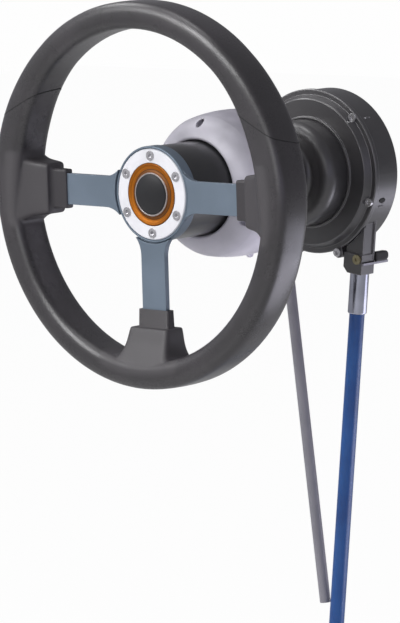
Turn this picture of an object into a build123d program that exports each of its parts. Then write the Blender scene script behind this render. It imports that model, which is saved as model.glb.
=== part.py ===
from build123d import *
import os
from math import acos, atan2, cos, degrees, pi, radians, sin, tan

# Rotary cable steering for a small boat: wheel, dash bezel, planetary helm and push-pull cable.
# The wheel's axis is +Y, which runs from the driver into the dash, and +Z is up.
# The origin is on the axis, in the plane where the mounting plate and the bezel meet the dash.
# All sizes are millimetres.

os.makedirs("parts", exist_ok=True)

# Driving dimensions

# Fits shared by the whole assembly
RUNNING_GAP = 0.04
LOOSE_GAP = 0.3

# Steering wheel rim and its grips
RIM_OUTER_R = 175.0
RIM_RADIAL = 25.4
RIM_AXIAL = 42.0
RIM_MID_Y = -134.6
RIM_SIDE_CROWN = 1.2
RIM_END_CROWN = 0.8
RIM_FRONT_CORNER_R = 7.5
RIM_REAR_CORNER_R = 10.5
HOOP_R = 5.5
GRIP_SWELL_IN = 4.7
GRIP_SWELL_OUT = 2.0
GRIP_TOP_ANGLE = 52.0
GRIP_FULL_ANGLE = 14.0
GRIP_FIRST_ANGLE = 4.0
GRIP_LOW_ANGLE = -13.0
SEAM_OUTER_ANGLE = 24.0
SEAM_FRONT_ANGLE = 32.0
SEAM_INNER_ANGLE = 39.0

# Spokes, hub disc and the soft boots where the spokes enter the rim
SPOKE_ANGLES = (180.0, 270.0, 0.0)
SPOKE_W = 28.5
SPOKE_THICK = 5.0
SPOKE_FRONT_Y = -130.5
HUB_DISC_R = 43.75
HUB_LIP_W = 2.2
HUB_LIP_H = 2.2
HUB_DISC_FRONT_Y = -127.5
HUB_DISC_BACK_Y = -118.0
SPOKE_ROOT_FILLET = 24.0
BOOT_NECK_W = 36.0
BOOT_NECK_DEPTH = 9.0
BOOT_NECK_INSET = 70.4
BOOT_STEP_INSET = 54.5
BOOT_W = 46.0
BOOT_DEPTH = 23.0
BOOT_CORNER_R = 4.0
BOOT_EDGE_ROUND = 1.8
BOOT_MID_Y = -128.5

# Hub trim, its screws, the bronze dish and the centre cap
TRIM_R = 41.2
TRIM_BORE_R = 28.8
TRIM_THICK = 2.5
TRIM_EDGE = 0.8
HUB_SCREW_PCD_R = 35.0
HUB_SCREW_COUNT = 6
HUB_SCREW_R = 2.5
HUB_SCREW_HEAD_R = 4.5
HUB_SCREW_HEAD_H = 2.2
HUB_SCREW_LEN = 17.0
CAP_R = 18.3
CAP_DOME = 2.4
CAP_FLAT_R = 2.0
CAP_DEPTH = 9.0
CAP_RING_W = 1.5
CAP_RING_PROUD = 0.7
DISH_R = 28.6
DISH_DEPTH = 7.5
DISH_SINK = 1.4

# Hub adapter between the wheel and the tapered shaft
ADAPTER_R = 43.0
ADAPTER_WALL = 4.0
ADAPTER_FACE_THICK = 9.0
ADAPTER_BACK_Y = -62.0
ADAPTER_SLEEVE_R = 20.0
ADAPTER_POCKET_R = 16.0
ADAPTER_POCKET_DEPTH = 12.0

# Input shaft with its sun pinion
SHAFT_R = 11.0
SHAFT_NOSE_Y = -118.5
SHAFT_THREAD_R = 6.0
TAPER_SMALL_R = 8.5
TAPER_BIG_R = 10.5
JOURNAL_R = 6.0
KEY_W = 4.0
KEY_H = 5.0
KEY_LEN = 16.0
KEY_Y = -85.0
NUT_ACROSS = 19.0
NUT_H = 8.0
WASHER_R = 12.0
WASHER_THICK = 1.6

# Dash bezel
BEZEL_BACK_R = 66.7
BEZEL_BELLY_R = 67.7
BEZEL_BELLY_Y = -24.0
BEZEL_CREST_R = 64.5
BEZEL_CREST_Y = -53.0
BEZEL_LIP_R = 47.7
BEZEL_LIP_Y = -70.0
BEZEL_MOUTH_R = 44.3
BEZEL_WALL = 3.0
BEZEL_SCREW_R = 58.5
BEZEL_SCREW_ANGLES = (90.0, 210.0, 330.0)
BEZEL_SCREW_SHANK_R = 2.0
BEZEL_SCREW_HEAD_R = 3.4
BEZEL_POST_R = 3.8
BEZEL_POST_FRONT_Y = -46.0
BEZEL_SEAT_Y = -53.5
EYELET_Y = -5.4
EYELET_R = 4.2
EYELET_HOLE_R = 2.2
EYELET_THICK = 2.4
EYELET_ANGLE = 275.0

# Mounting plate that the dash screws hold
PLATE_R = 60.0
PLATE_THICK = 5.0
DASH_HOLE_PCD_R = 50.0
DASH_HOLE_R = 3.3
DASH_HOLE_COUNT = 4
SPIGOT_R = 19.5
NECK_SCREW_PCD_R = 24.0
NECK_SCREW_ANGLES = (30.0, 150.0, 270.0)
NECK_SCREW_R = 2.5
NECK_SCREW_HEAD_R = 4.5
NECK_SCREW_HEAD_H = 3.2
NECK_SCREW_LEN = 18.0

# Front cover of the helm: neck, bell and screwed flange
NECK_R = 28.5
BELL_FRONT_Y = 56.0
BELL_R = 50.0
BELL_SHOULDER_R = 11.0
BELL_ROOT_FILLET = 5.0
COVER_WALL = 4.0
BEAD_R = 51.4
BEAD_ROUND = 1.3
COVER_FACE_Y = 86.5
COVER_FACE_R = 69.4
COVER_STEP_R = 72.6
FLANGE_FRONT_Y = 93.2
FLANGE_R = 77.7
FLANGE_BACK_Y = 97.8
BEARING_R = 17.0
BEARING_LEN = 12.0
SHAFT_CLEAR_R = 12.5

# Rear housing and its screws
GASKET_THICK = 0.8
HOUSING_R = 76.5
HOUSING_BACK_Y = 127.5
HOUSING_WALL = 4.0
CHAMBER_R = 60.8
TRACK_WALL = 3.0
SKIRT_WALL = 3.2
HOUSING_SCREW_ANGLES = (45.5, 134.5, 200.5, 339.5)
HOUSING_SCREW_PCD_R = 73.6
LUG_SCREW_ANGLES = (248.5, 291.5)
LUG_SCREW_PCD_R = 80.6
HOUSING_SCREW_R = 2.0
HOUSING_SCREW_HEAD_R = 4.1
HOUSING_SCREW_HEAD_H = 2.6
HOUSING_SCREW_LEN = 13.0
LUG_R = 5.4
LUG_LEN = 9.0
SCREW_BOSS_R = 4.6
HOUSING_BOSS_R = 15.0
HOUSING_BOSS_PROUD = 2.5
DRAIN_ANGLE = 340.5
DRAIN_Y = 108.5
DRAIN_LEN = 6.0
DRAIN_W = 4.0
NIB_ANGLES = (42.4, 336.0)
NIB_LEN = 6.0
NIB_W = 1.4
NIB_PROUD = 0.7

# Planetary gears: a sun on the shaft, three planets on fixed pins, a ring inside the cable drum
MODULE = 1.5
SUN_TEETH = 12
PLANET_TEETH = 24
RING_TEETH = 60
PLANET_COUNT = 3
PRESSURE_ANGLE = 25.0
ADDENDUM = 0.8
DEDENDUM = 1.1
BACKLASH = 0.24
GEAR_FRONT_Y = 106.0
GEAR_BACK_Y = 117.0
PIN_R = 5.0
PIN_BOSS_R = 8.5
PIN_BOSS_FRONT_Y = 117.8
PIN_SEAT_Y = 125.0
PIN_FRONT_Y = 103.4
CLIP_R = 7.2
CLIP_THICK = 1.2
BUSH_R = 9.0

# Cable drum
CABLE_Y = 106.0
WRAP_R = 55.0
CORE_R = 3.8
DRUM_R = 58.2
DRUM_FRONT_Y = 95.0
DRUM_BACK_Y = 117.0
DRUM_WEB = 4.0
DRUM_HUB_R = 19.0
DRUM_BUSH_R = 13.5
DRUM_HUB_BACK_Y = 104.5

# Cable outlets
CABLE_LEAN = 6.5
COLUMN_W = 20.0
COLUMN_D = 16.0
COLUMN_LEN = 68.0
COLUMN_BACK = 6.2
COLLAR_W = 22.0
COLLAR_D = 18.3
COLLAR_BACK = 6.8
COLLAR_LEN = 19.0
COLLAR_CHAMFER = 5.0
RIB_W = 2.2
RIB_PROUD = 1.4
FERRULE_R = 9.0
FERRULE_LEN = 39.4
FERRULE_TAIL_R = 5.3
FERRULE_TAIL_LEN = 22.0
FERRULE_NECK_R = 4.9
CORE_BORE_R = 4.3
CLIP_PLATE_THICK = 2.2
CLIP_PLATE_UP = 10.6
CLIP_FORK_HALF_W = 6.2
CLIP_ARM_START = -3.0
CLIP_BAR_W = 1.8
CLIP_GRIP_LEN = 18.0
CLIP_GRIP_H = 8.6
CLIP_GRIP_THICK = 5.0
CLIP_GRIP_ROUND = 4.2
SET_SCREW_HEAD_R = 4.6
SET_SCREW_HEAD_H = 1.6
SET_SCREW_R = 1.8
SET_SCREW_LEN = 3.4
SET_SCREW_IN = -5.2
SET_SCREW_UP = 14.3

# Spent-travel tube on the other side
SPENT_R = 5.2
SPENT_WALL = 0.9
SPENT_SEAT = 68.0
SPENT_END = 413.8
SPENT_CORE_END = 150.0
SPENT_COLLAR_R = 7.0
SPENT_COLLAR_LEN = 9.0

# Cable conduit, its stored coil and the engine end
CABLE_R = 7.25
COIL_R = 86.0
COIL_ENTRY = 566.0
COIL_PITCH = 14.7
COIL_EXTRA_TURNS = 2
COIL_STUB = 62.0
TAIL_LEN = 88.0
COIL_CORNER_R = 6.0
COIL_SEAM_TURN = 200.0
TIE_W = 6.0
TIE_THICK = 1.2
TIE_ANGLES = (42.0, 222.0)
END_HUB_R = 9.5
END_HUB_LEN = 36.0
END_NECK_R = 8.0
END_NECK_LEN = 4.0
END_FLANGE_R = 10.0
END_FLANGE_LEN = 3.0
END_NUT_ACROSS = 31.8
END_NUT_LEN = 19.0
END_NUT_BORE_R = 10.4
GUIDE_R = 4.75
GUIDE_LEN = 266.0
RAM_R = 7.94
RAM_LEN = 290.0
RAM_STROKE = 228.6
RAM_STOP_GAP = 13.0
RAM_BORE_SPARE = 4.0
RAM_EYE_THICK = 8.0
RAM_EYE_LEN = 24.0
RAM_EYE_R = 4.8


# Planes and shared outlines

def across(y):
    """A plane square to the wheel's axis at depth y, with local z towards the driver."""
    return Plane.XZ.offset(-y)


def radial_plane(angle, radius, y=0.0):
    """A plane square to a radius: local x runs round the axis, local y towards the driver."""
    a = radians(angle)
    return Plane(
        origin=(radius * cos(a), y, radius * sin(a)),
        x_dir=(-sin(a), 0, cos(a)),
        z_dir=(cos(a), 0, sin(a)),
    )


def outlet_plane(side):
    """The tangent plane where the core leaves the drum; local z runs down the cable's line."""
    lean = radians(CABLE_LEAN)
    return Plane(
        origin=(side * WRAP_R * cos(lean), CABLE_Y, -WRAP_R * sin(lean)),
        x_dir=(side * cos(lean), 0, -sin(lean)),
        z_dir=(-side * sin(lean), 0, -cos(lean)),
    )


def around(angle, radius):
    """A point on an across plane at an angle about the wheel's axis."""
    return (radius * cos(radians(angle)), radius * sin(radians(angle)))


def involute(angle):
    return tan(angle) - angle


def tooth_half_angle(radius, teeth, thinning):
    """Half the angle that one tooth takes at a radius, from its involute flank."""
    pitch_r = MODULE * teeth / 2
    pressure = radians(PRESSURE_ANGLE)
    base_r = pitch_r * cos(pressure)
    at_pitch = pi / (2 * teeth) - thinning / (2 * pitch_r)
    local = acos(min(1.0, base_r / radius)) if radius > base_r else 0.0
    return at_pitch + involute(pressure) - involute(local)


def gear_outline(teeth, root_r, tip_r, thinning, tooth_angle, centre=(0, 0)):
    """A closed gear outline: arcs along the flanks, straight tips and roots."""
    base_r = MODULE * teeth / 2 * cos(radians(PRESSURE_ANGLE))
    flank_r = max(root_r, base_r)
    mid_r = (flank_r + tip_r) / 2
    step = 2 * pi / teeth

    def point(radius, angle):
        return (centre[0] + radius * cos(angle), centre[1] + radius * sin(angle))

    for tooth in range(teeth):
        middle = radians(tooth_angle) + tooth * step
        root = tooth_half_angle(flank_r, teeth, thinning)
        mid = tooth_half_angle(mid_r, teeth, thinning)
        tip = tooth_half_angle(tip_r, teeth, thinning)
        if flank_r > root_r:
            Line(point(root_r, middle - root), point(flank_r, middle - root))
        ThreePointArc(
            point(flank_r, middle - root), point(mid_r, middle - mid), point(tip_r, middle - tip)
        )
        Line(point(tip_r, middle - tip), point(tip_r, middle + tip))
        ThreePointArc(
            point(tip_r, middle + tip), point(mid_r, middle + mid), point(flank_r, middle + root)
        )
        if flank_r > root_r:
            Line(point(flank_r, middle + root), point(root_r, middle + root))
        Line(point(root_r, middle + root), point(root_r, middle + step - root))


def rim_section(swell_in=0.0, swell_out=0.0):
    """The rim's section on the XY plane: crowned sides, tight front corners, round back corners."""
    inner = RIM_OUTER_R - RIM_RADIAL - swell_in
    outer = RIM_OUTER_R + swell_out
    middle = (inner + outer) / 2
    front = RIM_MID_Y - RIM_AXIAL / 2
    back = RIM_MID_Y + RIM_AXIAL / 2
    in_front = (inner + RIM_SIDE_CROWN, front + RIM_END_CROWN)
    out_front = (outer - RIM_SIDE_CROWN, front + RIM_END_CROWN)
    out_back = (outer - RIM_SIDE_CROWN, back - RIM_END_CROWN)
    in_back = (inner + RIM_SIDE_CROWN, back - RIM_END_CROWN)
    with BuildLine() as outline:
        ThreePointArc(in_front, (middle, front), out_front)
        ThreePointArc(out_front, (outer, RIM_MID_Y), out_back)
        ThreePointArc(out_back, (middle, back), in_back)
        ThreePointArc(in_back, (inner, RIM_MID_Y), in_front)
    make_face(outline.edges())


# Places that several pieces share

HOOP_MID_R = RIM_OUTER_R - RIM_RADIAL / 2
SPOKE_MID_Y = SPOKE_FRONT_Y + SPOKE_THICK / 2
ADAPTER_FACE_Y = HUB_DISC_BACK_Y
ADAPTER_SEAT_Y = ADAPTER_FACE_Y + ADAPTER_POCKET_DEPTH
ADAPTER_SLEEVE_BACK_Y = ADAPTER_BACK_Y - 2.0
HOUSING_FRONT_Y = FLANGE_BACK_Y + GASKET_THICK
COVER_INNER_Y = COVER_FACE_Y + COVER_WALL
CHAMBER_BACK_Y = HOUSING_BACK_Y - HOUSING_WALL
SUN_R = MODULE * SUN_TEETH / 2
PLANET_R = MODULE * PLANET_TEETH / 2
RING_R = MODULE * RING_TEETH / 2
CARRIER_R = SUN_R + PLANET_R
PLANET_ANGLES = [90.0 + 360.0 / PLANET_COUNT * i for i in range(PLANET_COUNT)]
RIGHT = outlet_plane(1)
LEFT = outlet_plane(-1)
COLUMN_START = 18.0
COLUMN_END = COLUMN_START + COLUMN_LEN + 2.7
COLLAR_FRONT_Y = CABLE_Y - (COLLAR_D - COLLAR_BACK)
COLLAR_MID = (COLLAR_D - 2 * COLLAR_BACK) / 2
COLUMN_MID = (COLUMN_D - 2 * COLUMN_BACK) / 2
CLIP_LEVEL = COLUMN_END - CLIP_PLATE_UP
CLIP_BAR_X = COLLAR_W / 2 + LOOSE_GAP
SCREW_PLACES = [(angle, HOUSING_SCREW_PCD_R) for angle in HOUSING_SCREW_ANGLES]
LUG_PLACES = [(angle, LUG_SCREW_PCD_R) for angle in LUG_SCREW_ANGLES]
ALL_SCREWS = SCREW_PLACES + LUG_PLACES
set_screw_centre = RIGHT.from_local_coords((-SET_SCREW_IN, 0, COLUMN_END - SET_SCREW_UP))
SET_SCREW_AT = (set_screw_centre.X, set_screw_centre.Z)


# Wheel: the hoop inside the rim, and the cast frame of hub disc and spokes

with BuildPart() as rim_hoop:
    with BuildSketch(Plane.XY):
        with Locations((HOOP_MID_R, RIM_MID_Y)):
            Circle(HOOP_R)
    revolve(axis=Axis.Y)

with BuildPart() as spider:
    with BuildSketch(across(SPOKE_FRONT_Y)):
        Circle(HUB_DISC_R)
        for angle in SPOKE_ANGLES:
            with Locations(around(angle, HOOP_MID_R / 2)):
                Rectangle(HOOP_MID_R, SPOKE_W, rotation=angle)
    extrude(amount=-SPOKE_THICK)
    root_edges = spider.edges().filter_by(Axis.Y).filter_by(
        lambda e: abs((e.center().X ** 2 + e.center().Z ** 2) ** 0.5 - HUB_DISC_R) < 0.5
    )
    fillet(root_edges, radius=SPOKE_ROOT_FILLET)
    with BuildSketch(across(SPOKE_FRONT_Y)):
        Circle(HUB_DISC_R + 1)
    extrude(amount=-(HUB_DISC_FRONT_Y - SPOKE_FRONT_Y), mode=Mode.SUBTRACT)
    with BuildSketch(across(HUB_DISC_FRONT_Y)):
        Circle(HUB_DISC_R)
    extrude(amount=-(HUB_DISC_BACK_Y - HUB_DISC_FRONT_Y))
    lip_straight = HUB_LIP_H - HUB_LIP_W / 2
    with BuildSketch(Plane.XY):
        with Locations((HUB_DISC_R - HUB_LIP_W / 2, HUB_DISC_FRONT_Y - lip_straight / 2)):
            Rectangle(HUB_LIP_W, lip_straight)
        with Locations((HUB_DISC_R - HUB_LIP_W / 2, HUB_DISC_FRONT_Y - lip_straight)):
            Circle(HUB_LIP_W / 2)
    revolve(axis=Axis.Y)
    with BuildSketch(across(HUB_DISC_FRONT_Y)):
        Circle(TRIM_BORE_R)
        with PolarLocations(HUB_SCREW_PCD_R, HUB_SCREW_COUNT, start_angle=90):
            Circle(HUB_SCREW_R)
    extrude(amount=-(HUB_DISC_BACK_Y - HUB_DISC_FRONT_Y), mode=Mode.SUBTRACT)
    add(rim_hoop.part, mode=Mode.SUBTRACT)


# Wheel: the moulded rim, in two pieces that meet at slanted seams above the side spokes
# The seam's plane goes through three points measured on the photo, mirrored for the other side

def seam_point(angle, radius, y):
    return Vector(radius * cos(radians(angle)), y, radius * sin(radians(angle)))


SEAM_OUTER = seam_point(SEAM_OUTER_ANGLE, RIM_OUTER_R, RIM_MID_Y)
SEAM_FRONT = seam_point(SEAM_FRONT_ANGLE, HOOP_MID_R, RIM_MID_Y - RIM_AXIAL / 2)
SEAM_INNER = seam_point(SEAM_INNER_ANGLE, RIM_OUTER_R - RIM_RADIAL, RIM_MID_Y)
SEAM_NORMAL = (SEAM_FRONT - SEAM_OUTER).cross(SEAM_INNER - SEAM_OUTER)

with BuildPart() as top_region:
    with Locations((RIM_OUTER_R, RIM_MID_Y, RIM_OUTER_R)):
        Box(2 * RIM_OUTER_R, 2 * RIM_AXIAL, 2 * RIM_OUTER_R)
    upper_side = Keep.TOP if SEAM_NORMAL.Z > 0 else Keep.BOTTOM
    split(bisect_by=Plane(origin=SEAM_OUTER, z_dir=SEAM_NORMAL), keep=upper_side)
    with Locations((SEAM_INNER.X * 0.4, RIM_MID_Y, RIM_OUTER_R)):
        Box(SEAM_INNER.X * 0.8, 2 * RIM_AXIAL, 2 * RIM_OUTER_R)
    mirror(about=Plane.YZ)

UPPER_ARC = (GRIP_TOP_ANGLE, 180 - 2 * GRIP_TOP_ANGLE)
LOWER_ARC = (180 - GRIP_LOW_ANGLE, 180 + 2 * GRIP_LOW_ANGLE)

with BuildPart() as rim_ring:
    for start_angle, arc in (UPPER_ARC, LOWER_ARC):
        a = radians(start_angle)
        section_plane = Plane(origin=(0, 0, 0), x_dir=(cos(a), 0, sin(a)), z_dir=(-sin(a), 0, cos(a)))
        with BuildSketch(section_plane) as ring_section:
            rim_section()
            fillet(ring_section.vertices().sort_by(Axis.Y)[:2], radius=RIM_FRONT_CORNER_R)
            fillet(ring_section.vertices().sort_by(Axis.Y)[-2:], radius=RIM_REAR_CORNER_R)
        revolve(axis=Axis.Y, revolution_arc=-arc)


def grip_swell(angle):
    """How far the grip has swollen at an angle: full beside the boot, none at either end."""
    above = (angle - GRIP_FULL_ANGLE) / (GRIP_TOP_ANGLE - GRIP_FULL_ANGLE)
    below = (GRIP_FIRST_ANGLE - angle) / (GRIP_FIRST_ANGLE - GRIP_LOW_ANGLE)
    share = min(1.0, max(0.0, above, below))
    return (1 + cos(pi * share)) / 2


with BuildPart() as rim_grips:
    for angle in (GRIP_LOW_ANGLE, -8, -3, GRIP_FIRST_ANGLE, GRIP_FULL_ANGLE, 22, 30, 38, 45, GRIP_TOP_ANGLE):
        a = radians(angle)
        section_plane = Plane(origin=(0, 0, 0), x_dir=(cos(a), 0, sin(a)), z_dir=(-sin(a), 0, cos(a)))
        with BuildSketch(section_plane) as grip_section:
            rim_section(GRIP_SWELL_IN * grip_swell(angle), GRIP_SWELL_OUT * grip_swell(angle))
            corners = grip_section.vertices().sort_by(Axis.Y)
            fillet(corners[:2], radius=RIM_FRONT_CORNER_R)
            fillet(grip_section.vertices().sort_by(Axis.Y)[-2:], radius=RIM_REAR_CORNER_R)
    loft()
    mirror(about=Plane.YZ)

# One boot, drawn along +X: the swelling pad that runs into the rim, and the neck round the spoke
BOOT_NECK_R = RIM_OUTER_R - BOOT_NECK_INSET
BOOT_STEP_R = RIM_OUTER_R - BOOT_STEP_INSET
BOOT_FRONT_Y = BOOT_MID_Y - BOOT_DEPTH / 2
BOOT_BACK_Y = BOOT_MID_Y + BOOT_DEPTH / 2
BOOT_SECTIONS = (
    (BOOT_STEP_R, 0.0, 0.0, 0.0),
    (BOOT_STEP_R + 10.5, 3.6, 3.3, 0.6),
    (BOOT_STEP_R + 20.5, 8.8, 7.6, 1.3),
    (BOOT_STEP_R + 29.0, 20.0, 12.4, 2.2),
    (BOOT_STEP_R + 35.0, 32.0, 13.6, 2.6),
)

with BuildPart() as boot_blank:
    for radius, wider, forward, back in BOOT_SECTIONS:
        middle_y = (BOOT_FRONT_Y - forward + BOOT_BACK_Y + back) / 2
        with BuildSketch(radial_plane(0, radius, middle_y)):
            RectangleRounded(BOOT_W + wider, BOOT_DEPTH + forward + back, BOOT_CORNER_R + wider * 0.08)
    loft()
    fillet(boot_blank.faces().sort_by(Axis.X)[0].edges(), radius=BOOT_EDGE_ROUND)
    with BuildSketch(radial_plane(0, BOOT_NECK_R, SPOKE_MID_Y)):
        RectangleRounded(BOOT_NECK_W, BOOT_NECK_DEPTH, BOOT_CORNER_R / 2)
    extrude(amount=BOOT_STEP_R - BOOT_NECK_R + 2.5, taper=-2)

with BuildPart() as rim_boots:
    for angle in SPOKE_ANGLES:
        add(boot_blank.part.rotate(Axis.Y, -angle))

with BuildPart() as rim_lower_cover:
    add(rim_ring.part)
    add(rim_grips.part)
    add(rim_boots.part)
    add(spider.part, mode=Mode.SUBTRACT)
    add(rim_hoop.part, mode=Mode.SUBTRACT)
    add(top_region.part, mode=Mode.SUBTRACT)

with BuildPart() as rim_top_cover:
    add(rim_ring.part)
    add(rim_grips.part)
    add(spider.part, mode=Mode.SUBTRACT)
    add(rim_hoop.part, mode=Mode.SUBTRACT)
    add(top_region.part, mode=Mode.INTERSECT)


# Wheel: trim ring, screws, bronze dish and centre cap

TRIM_FACE_Y = HUB_DISC_FRONT_Y - TRIM_THICK

with BuildPart() as trim_ring:
    with BuildSketch(across(HUB_DISC_FRONT_Y)):
        Circle(TRIM_R)
        Circle(TRIM_BORE_R, mode=Mode.SUBTRACT)
    extrude(amount=TRIM_THICK)
    front_edges = trim_ring.edges().filter_by(GeomType.CIRCLE).group_by(Axis.Y)[0]
    chamfer(front_edges.sort_by(SortBy.RADIUS)[-1], TRIM_EDGE)
    with BuildSketch(across(TRIM_FACE_Y)):
        with PolarLocations(HUB_SCREW_PCD_R, HUB_SCREW_COUNT, start_angle=90):
            Circle(HUB_SCREW_HEAD_R)
    extrude(amount=-(TRIM_THICK - 1), mode=Mode.SUBTRACT)
    with BuildSketch(across(TRIM_FACE_Y)):
        with PolarLocations(HUB_SCREW_PCD_R, HUB_SCREW_COUNT, start_angle=90):
            Circle(HUB_SCREW_R)
    extrude(amount=-TRIM_THICK, mode=Mode.SUBTRACT)

TRIM_SCREW_SEAT_Y = TRIM_FACE_Y + TRIM_THICK - 1

with BuildPart() as trim_screws:
    with BuildSketch(across(TRIM_SCREW_SEAT_Y)):
        with PolarLocations(HUB_SCREW_PCD_R, HUB_SCREW_COUNT, start_angle=90):
            Circle(HUB_SCREW_HEAD_R)
    extrude(amount=HUB_SCREW_HEAD_H)
    with BuildSketch(across(TRIM_SCREW_SEAT_Y - HUB_SCREW_HEAD_H)):
        with PolarLocations(HUB_SCREW_PCD_R, HUB_SCREW_COUNT, start_angle=90):
            RegularPolygon(HUB_SCREW_R * 0.8, 6)
    extrude(amount=-HUB_SCREW_HEAD_H * 0.7, mode=Mode.SUBTRACT)
    with BuildSketch(across(TRIM_SCREW_SEAT_Y)):
        with PolarLocations(HUB_SCREW_PCD_R, HUB_SCREW_COUNT, start_angle=90):
            Circle(HUB_SCREW_R)
    extrude(amount=-HUB_SCREW_LEN)

RING_OUTER_R = CAP_R + CAP_RING_W

with BuildPart() as cap_dish:
    with BuildSketch(Plane.XY):
        with BuildLine():
            Line((DISH_R, TRIM_FACE_Y), (DISH_R, TRIM_FACE_Y + DISH_DEPTH))
            Line((DISH_R, TRIM_FACE_Y + DISH_DEPTH), (RING_OUTER_R, TRIM_FACE_Y + DISH_DEPTH))
            Line((RING_OUTER_R, TRIM_FACE_Y + DISH_DEPTH), (RING_OUTER_R, TRIM_FACE_Y + 0.2))
            ThreePointArc(
                (RING_OUTER_R, TRIM_FACE_Y + 0.2),
                ((RING_OUTER_R + DISH_R) / 2, TRIM_FACE_Y + DISH_SINK),
                (DISH_R - 1.2, TRIM_FACE_Y - 0.5),
            )
            Line((DISH_R - 1.2, TRIM_FACE_Y - 0.5), (DISH_R, TRIM_FACE_Y))
        make_face()
    revolve(axis=Axis.Y)

with BuildPart() as cap_ring:
    with BuildSketch(across(TRIM_FACE_Y - CAP_RING_PROUD)):
        Circle(RING_OUTER_R)
        Circle(CAP_R, mode=Mode.SUBTRACT)
    extrude(amount=-(DISH_DEPTH + CAP_RING_PROUD))
    fillet(cap_ring.edges().filter_by(GeomType.CIRCLE).group_by(Axis.Y)[0], radius=CAP_RING_W * 0.3)

with BuildPart() as centre_cap:
    with BuildSketch(Plane.XY):
        with BuildLine():
            cap_front = TRIM_FACE_Y - 0.8
            Line((CAP_FLAT_R, cap_front - CAP_DOME), (0, cap_front - CAP_DOME))
            Line((0, cap_front - CAP_DOME), (0, cap_front + CAP_DEPTH))
            Line((0, cap_front + CAP_DEPTH), (CAP_R - 2, cap_front + CAP_DEPTH))
            Line((CAP_R - 2, cap_front + CAP_DEPTH), (CAP_R, cap_front + CAP_DEPTH - 2))
            Line((CAP_R, cap_front + CAP_DEPTH - 2), (CAP_R, cap_front))
            ThreePointArc(
                (CAP_R, cap_front),
                ((CAP_R + CAP_FLAT_R) / 2, cap_front - CAP_DOME * 0.75),
                (CAP_FLAT_R, cap_front - CAP_DOME),
            )
        make_face()
    revolve(axis=Axis.Y)


# Wheel: hub adapter on the shaft's taper

with BuildPart() as input_shaft:
    with BuildSketch(Plane.XY):
        with BuildLine():
            Polyline(
                (0, SHAFT_NOSE_Y),
                (SHAFT_THREAD_R - 1, SHAFT_NOSE_Y),
                (SHAFT_THREAD_R, SHAFT_NOSE_Y + 1),
                (SHAFT_THREAD_R, ADAPTER_SEAT_Y + 1),
                (TAPER_SMALL_R, ADAPTER_SEAT_Y + 1),
                (TAPER_BIG_R, ADAPTER_SLEEVE_BACK_Y),
                (SHAFT_R, ADAPTER_SLEEVE_BACK_Y),
                (SHAFT_R, GEAR_FRONT_Y - 2),
                (SUN_R - DEDENDUM * MODULE, GEAR_FRONT_Y - 2),
                (SUN_R - DEDENDUM * MODULE, GEAR_BACK_Y),
                (JOURNAL_R, GEAR_BACK_Y),
                (JOURNAL_R, PIN_SEAT_Y - 0.5),
                (0, PIN_SEAT_Y - 0.5),
                close=True,
            )
        make_face()
    revolve(axis=Axis.Y)
    with BuildSketch(across(GEAR_FRONT_Y - 2)):
        with BuildLine():
            gear_outline(
                SUN_TEETH, SUN_R - DEDENDUM * MODULE, SUN_R + ADDENDUM * MODULE, BACKLASH, PLANET_ANGLES[0]
            )
        make_face()
    extrude(amount=-(GEAR_BACK_Y - GEAR_FRONT_Y + 2))
    with BuildSketch(Plane.YZ):
        with Locations((KEY_Y, TAPER_SMALL_R + KEY_H / 2 - KEY_H * 0.55)):
            Rectangle(KEY_LEN, KEY_H)
    extrude(amount=KEY_W / 2, both=True, mode=Mode.SUBTRACT)

with BuildPart() as shaft_key:
    with BuildSketch(Plane.YZ):
        with Locations((KEY_Y, TAPER_SMALL_R + KEY_H / 2 - KEY_H * 0.55)):
            Rectangle(KEY_LEN, KEY_H)
    extrude(amount=KEY_W / 2, both=True)

with BuildPart() as hub_adapter:
    with BuildSketch(Plane.XY):
        with BuildLine():
            Polyline(
                (TAPER_SMALL_R, ADAPTER_SEAT_Y),
                (ADAPTER_POCKET_R, ADAPTER_SEAT_Y),
                (ADAPTER_POCKET_R, ADAPTER_FACE_Y),
                (ADAPTER_R, ADAPTER_FACE_Y),
                (ADAPTER_R, ADAPTER_BACK_Y),
                (ADAPTER_R - ADAPTER_WALL, ADAPTER_BACK_Y),
                (ADAPTER_R - ADAPTER_WALL, ADAPTER_FACE_Y + ADAPTER_FACE_THICK),
                (ADAPTER_SLEEVE_R + 3, ADAPTER_FACE_Y + ADAPTER_FACE_THICK),
                (ADAPTER_SLEEVE_R, ADAPTER_SEAT_Y + 6),
                (ADAPTER_SLEEVE_R, ADAPTER_SLEEVE_BACK_Y),
                (TAPER_BIG_R, ADAPTER_SLEEVE_BACK_Y),
                (TAPER_SMALL_R, ADAPTER_SEAT_Y + 1),
                close=True,
            )
        make_face()
    revolve(axis=Axis.Y)
    with BuildSketch(across(ADAPTER_FACE_Y)):
        with PolarLocations(HUB_SCREW_PCD_R, HUB_SCREW_COUNT, start_angle=90):
            Circle(HUB_SCREW_R)
    extrude(amount=-ADAPTER_FACE_THICK, mode=Mode.SUBTRACT)
    add(shaft_key.part, mode=Mode.SUBTRACT)

with BuildPart() as shaft_washer:
    with BuildSketch(across(ADAPTER_SEAT_Y)):
        Circle(WASHER_R)
        Circle(SHAFT_THREAD_R + LOOSE_GAP, mode=Mode.SUBTRACT)
    extrude(amount=WASHER_THICK)

with BuildPart() as shaft_nut:
    with BuildSketch(across(ADAPTER_SEAT_Y - WASHER_THICK)):
        RegularPolygon(NUT_ACROSS / 2, 6, major_radius=False)
        Circle(SHAFT_THREAD_R, mode=Mode.SUBTRACT)
    extrude(amount=NUT_H)


# Helm: mounting plate with its posts, and the screws that join it to the neck

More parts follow.
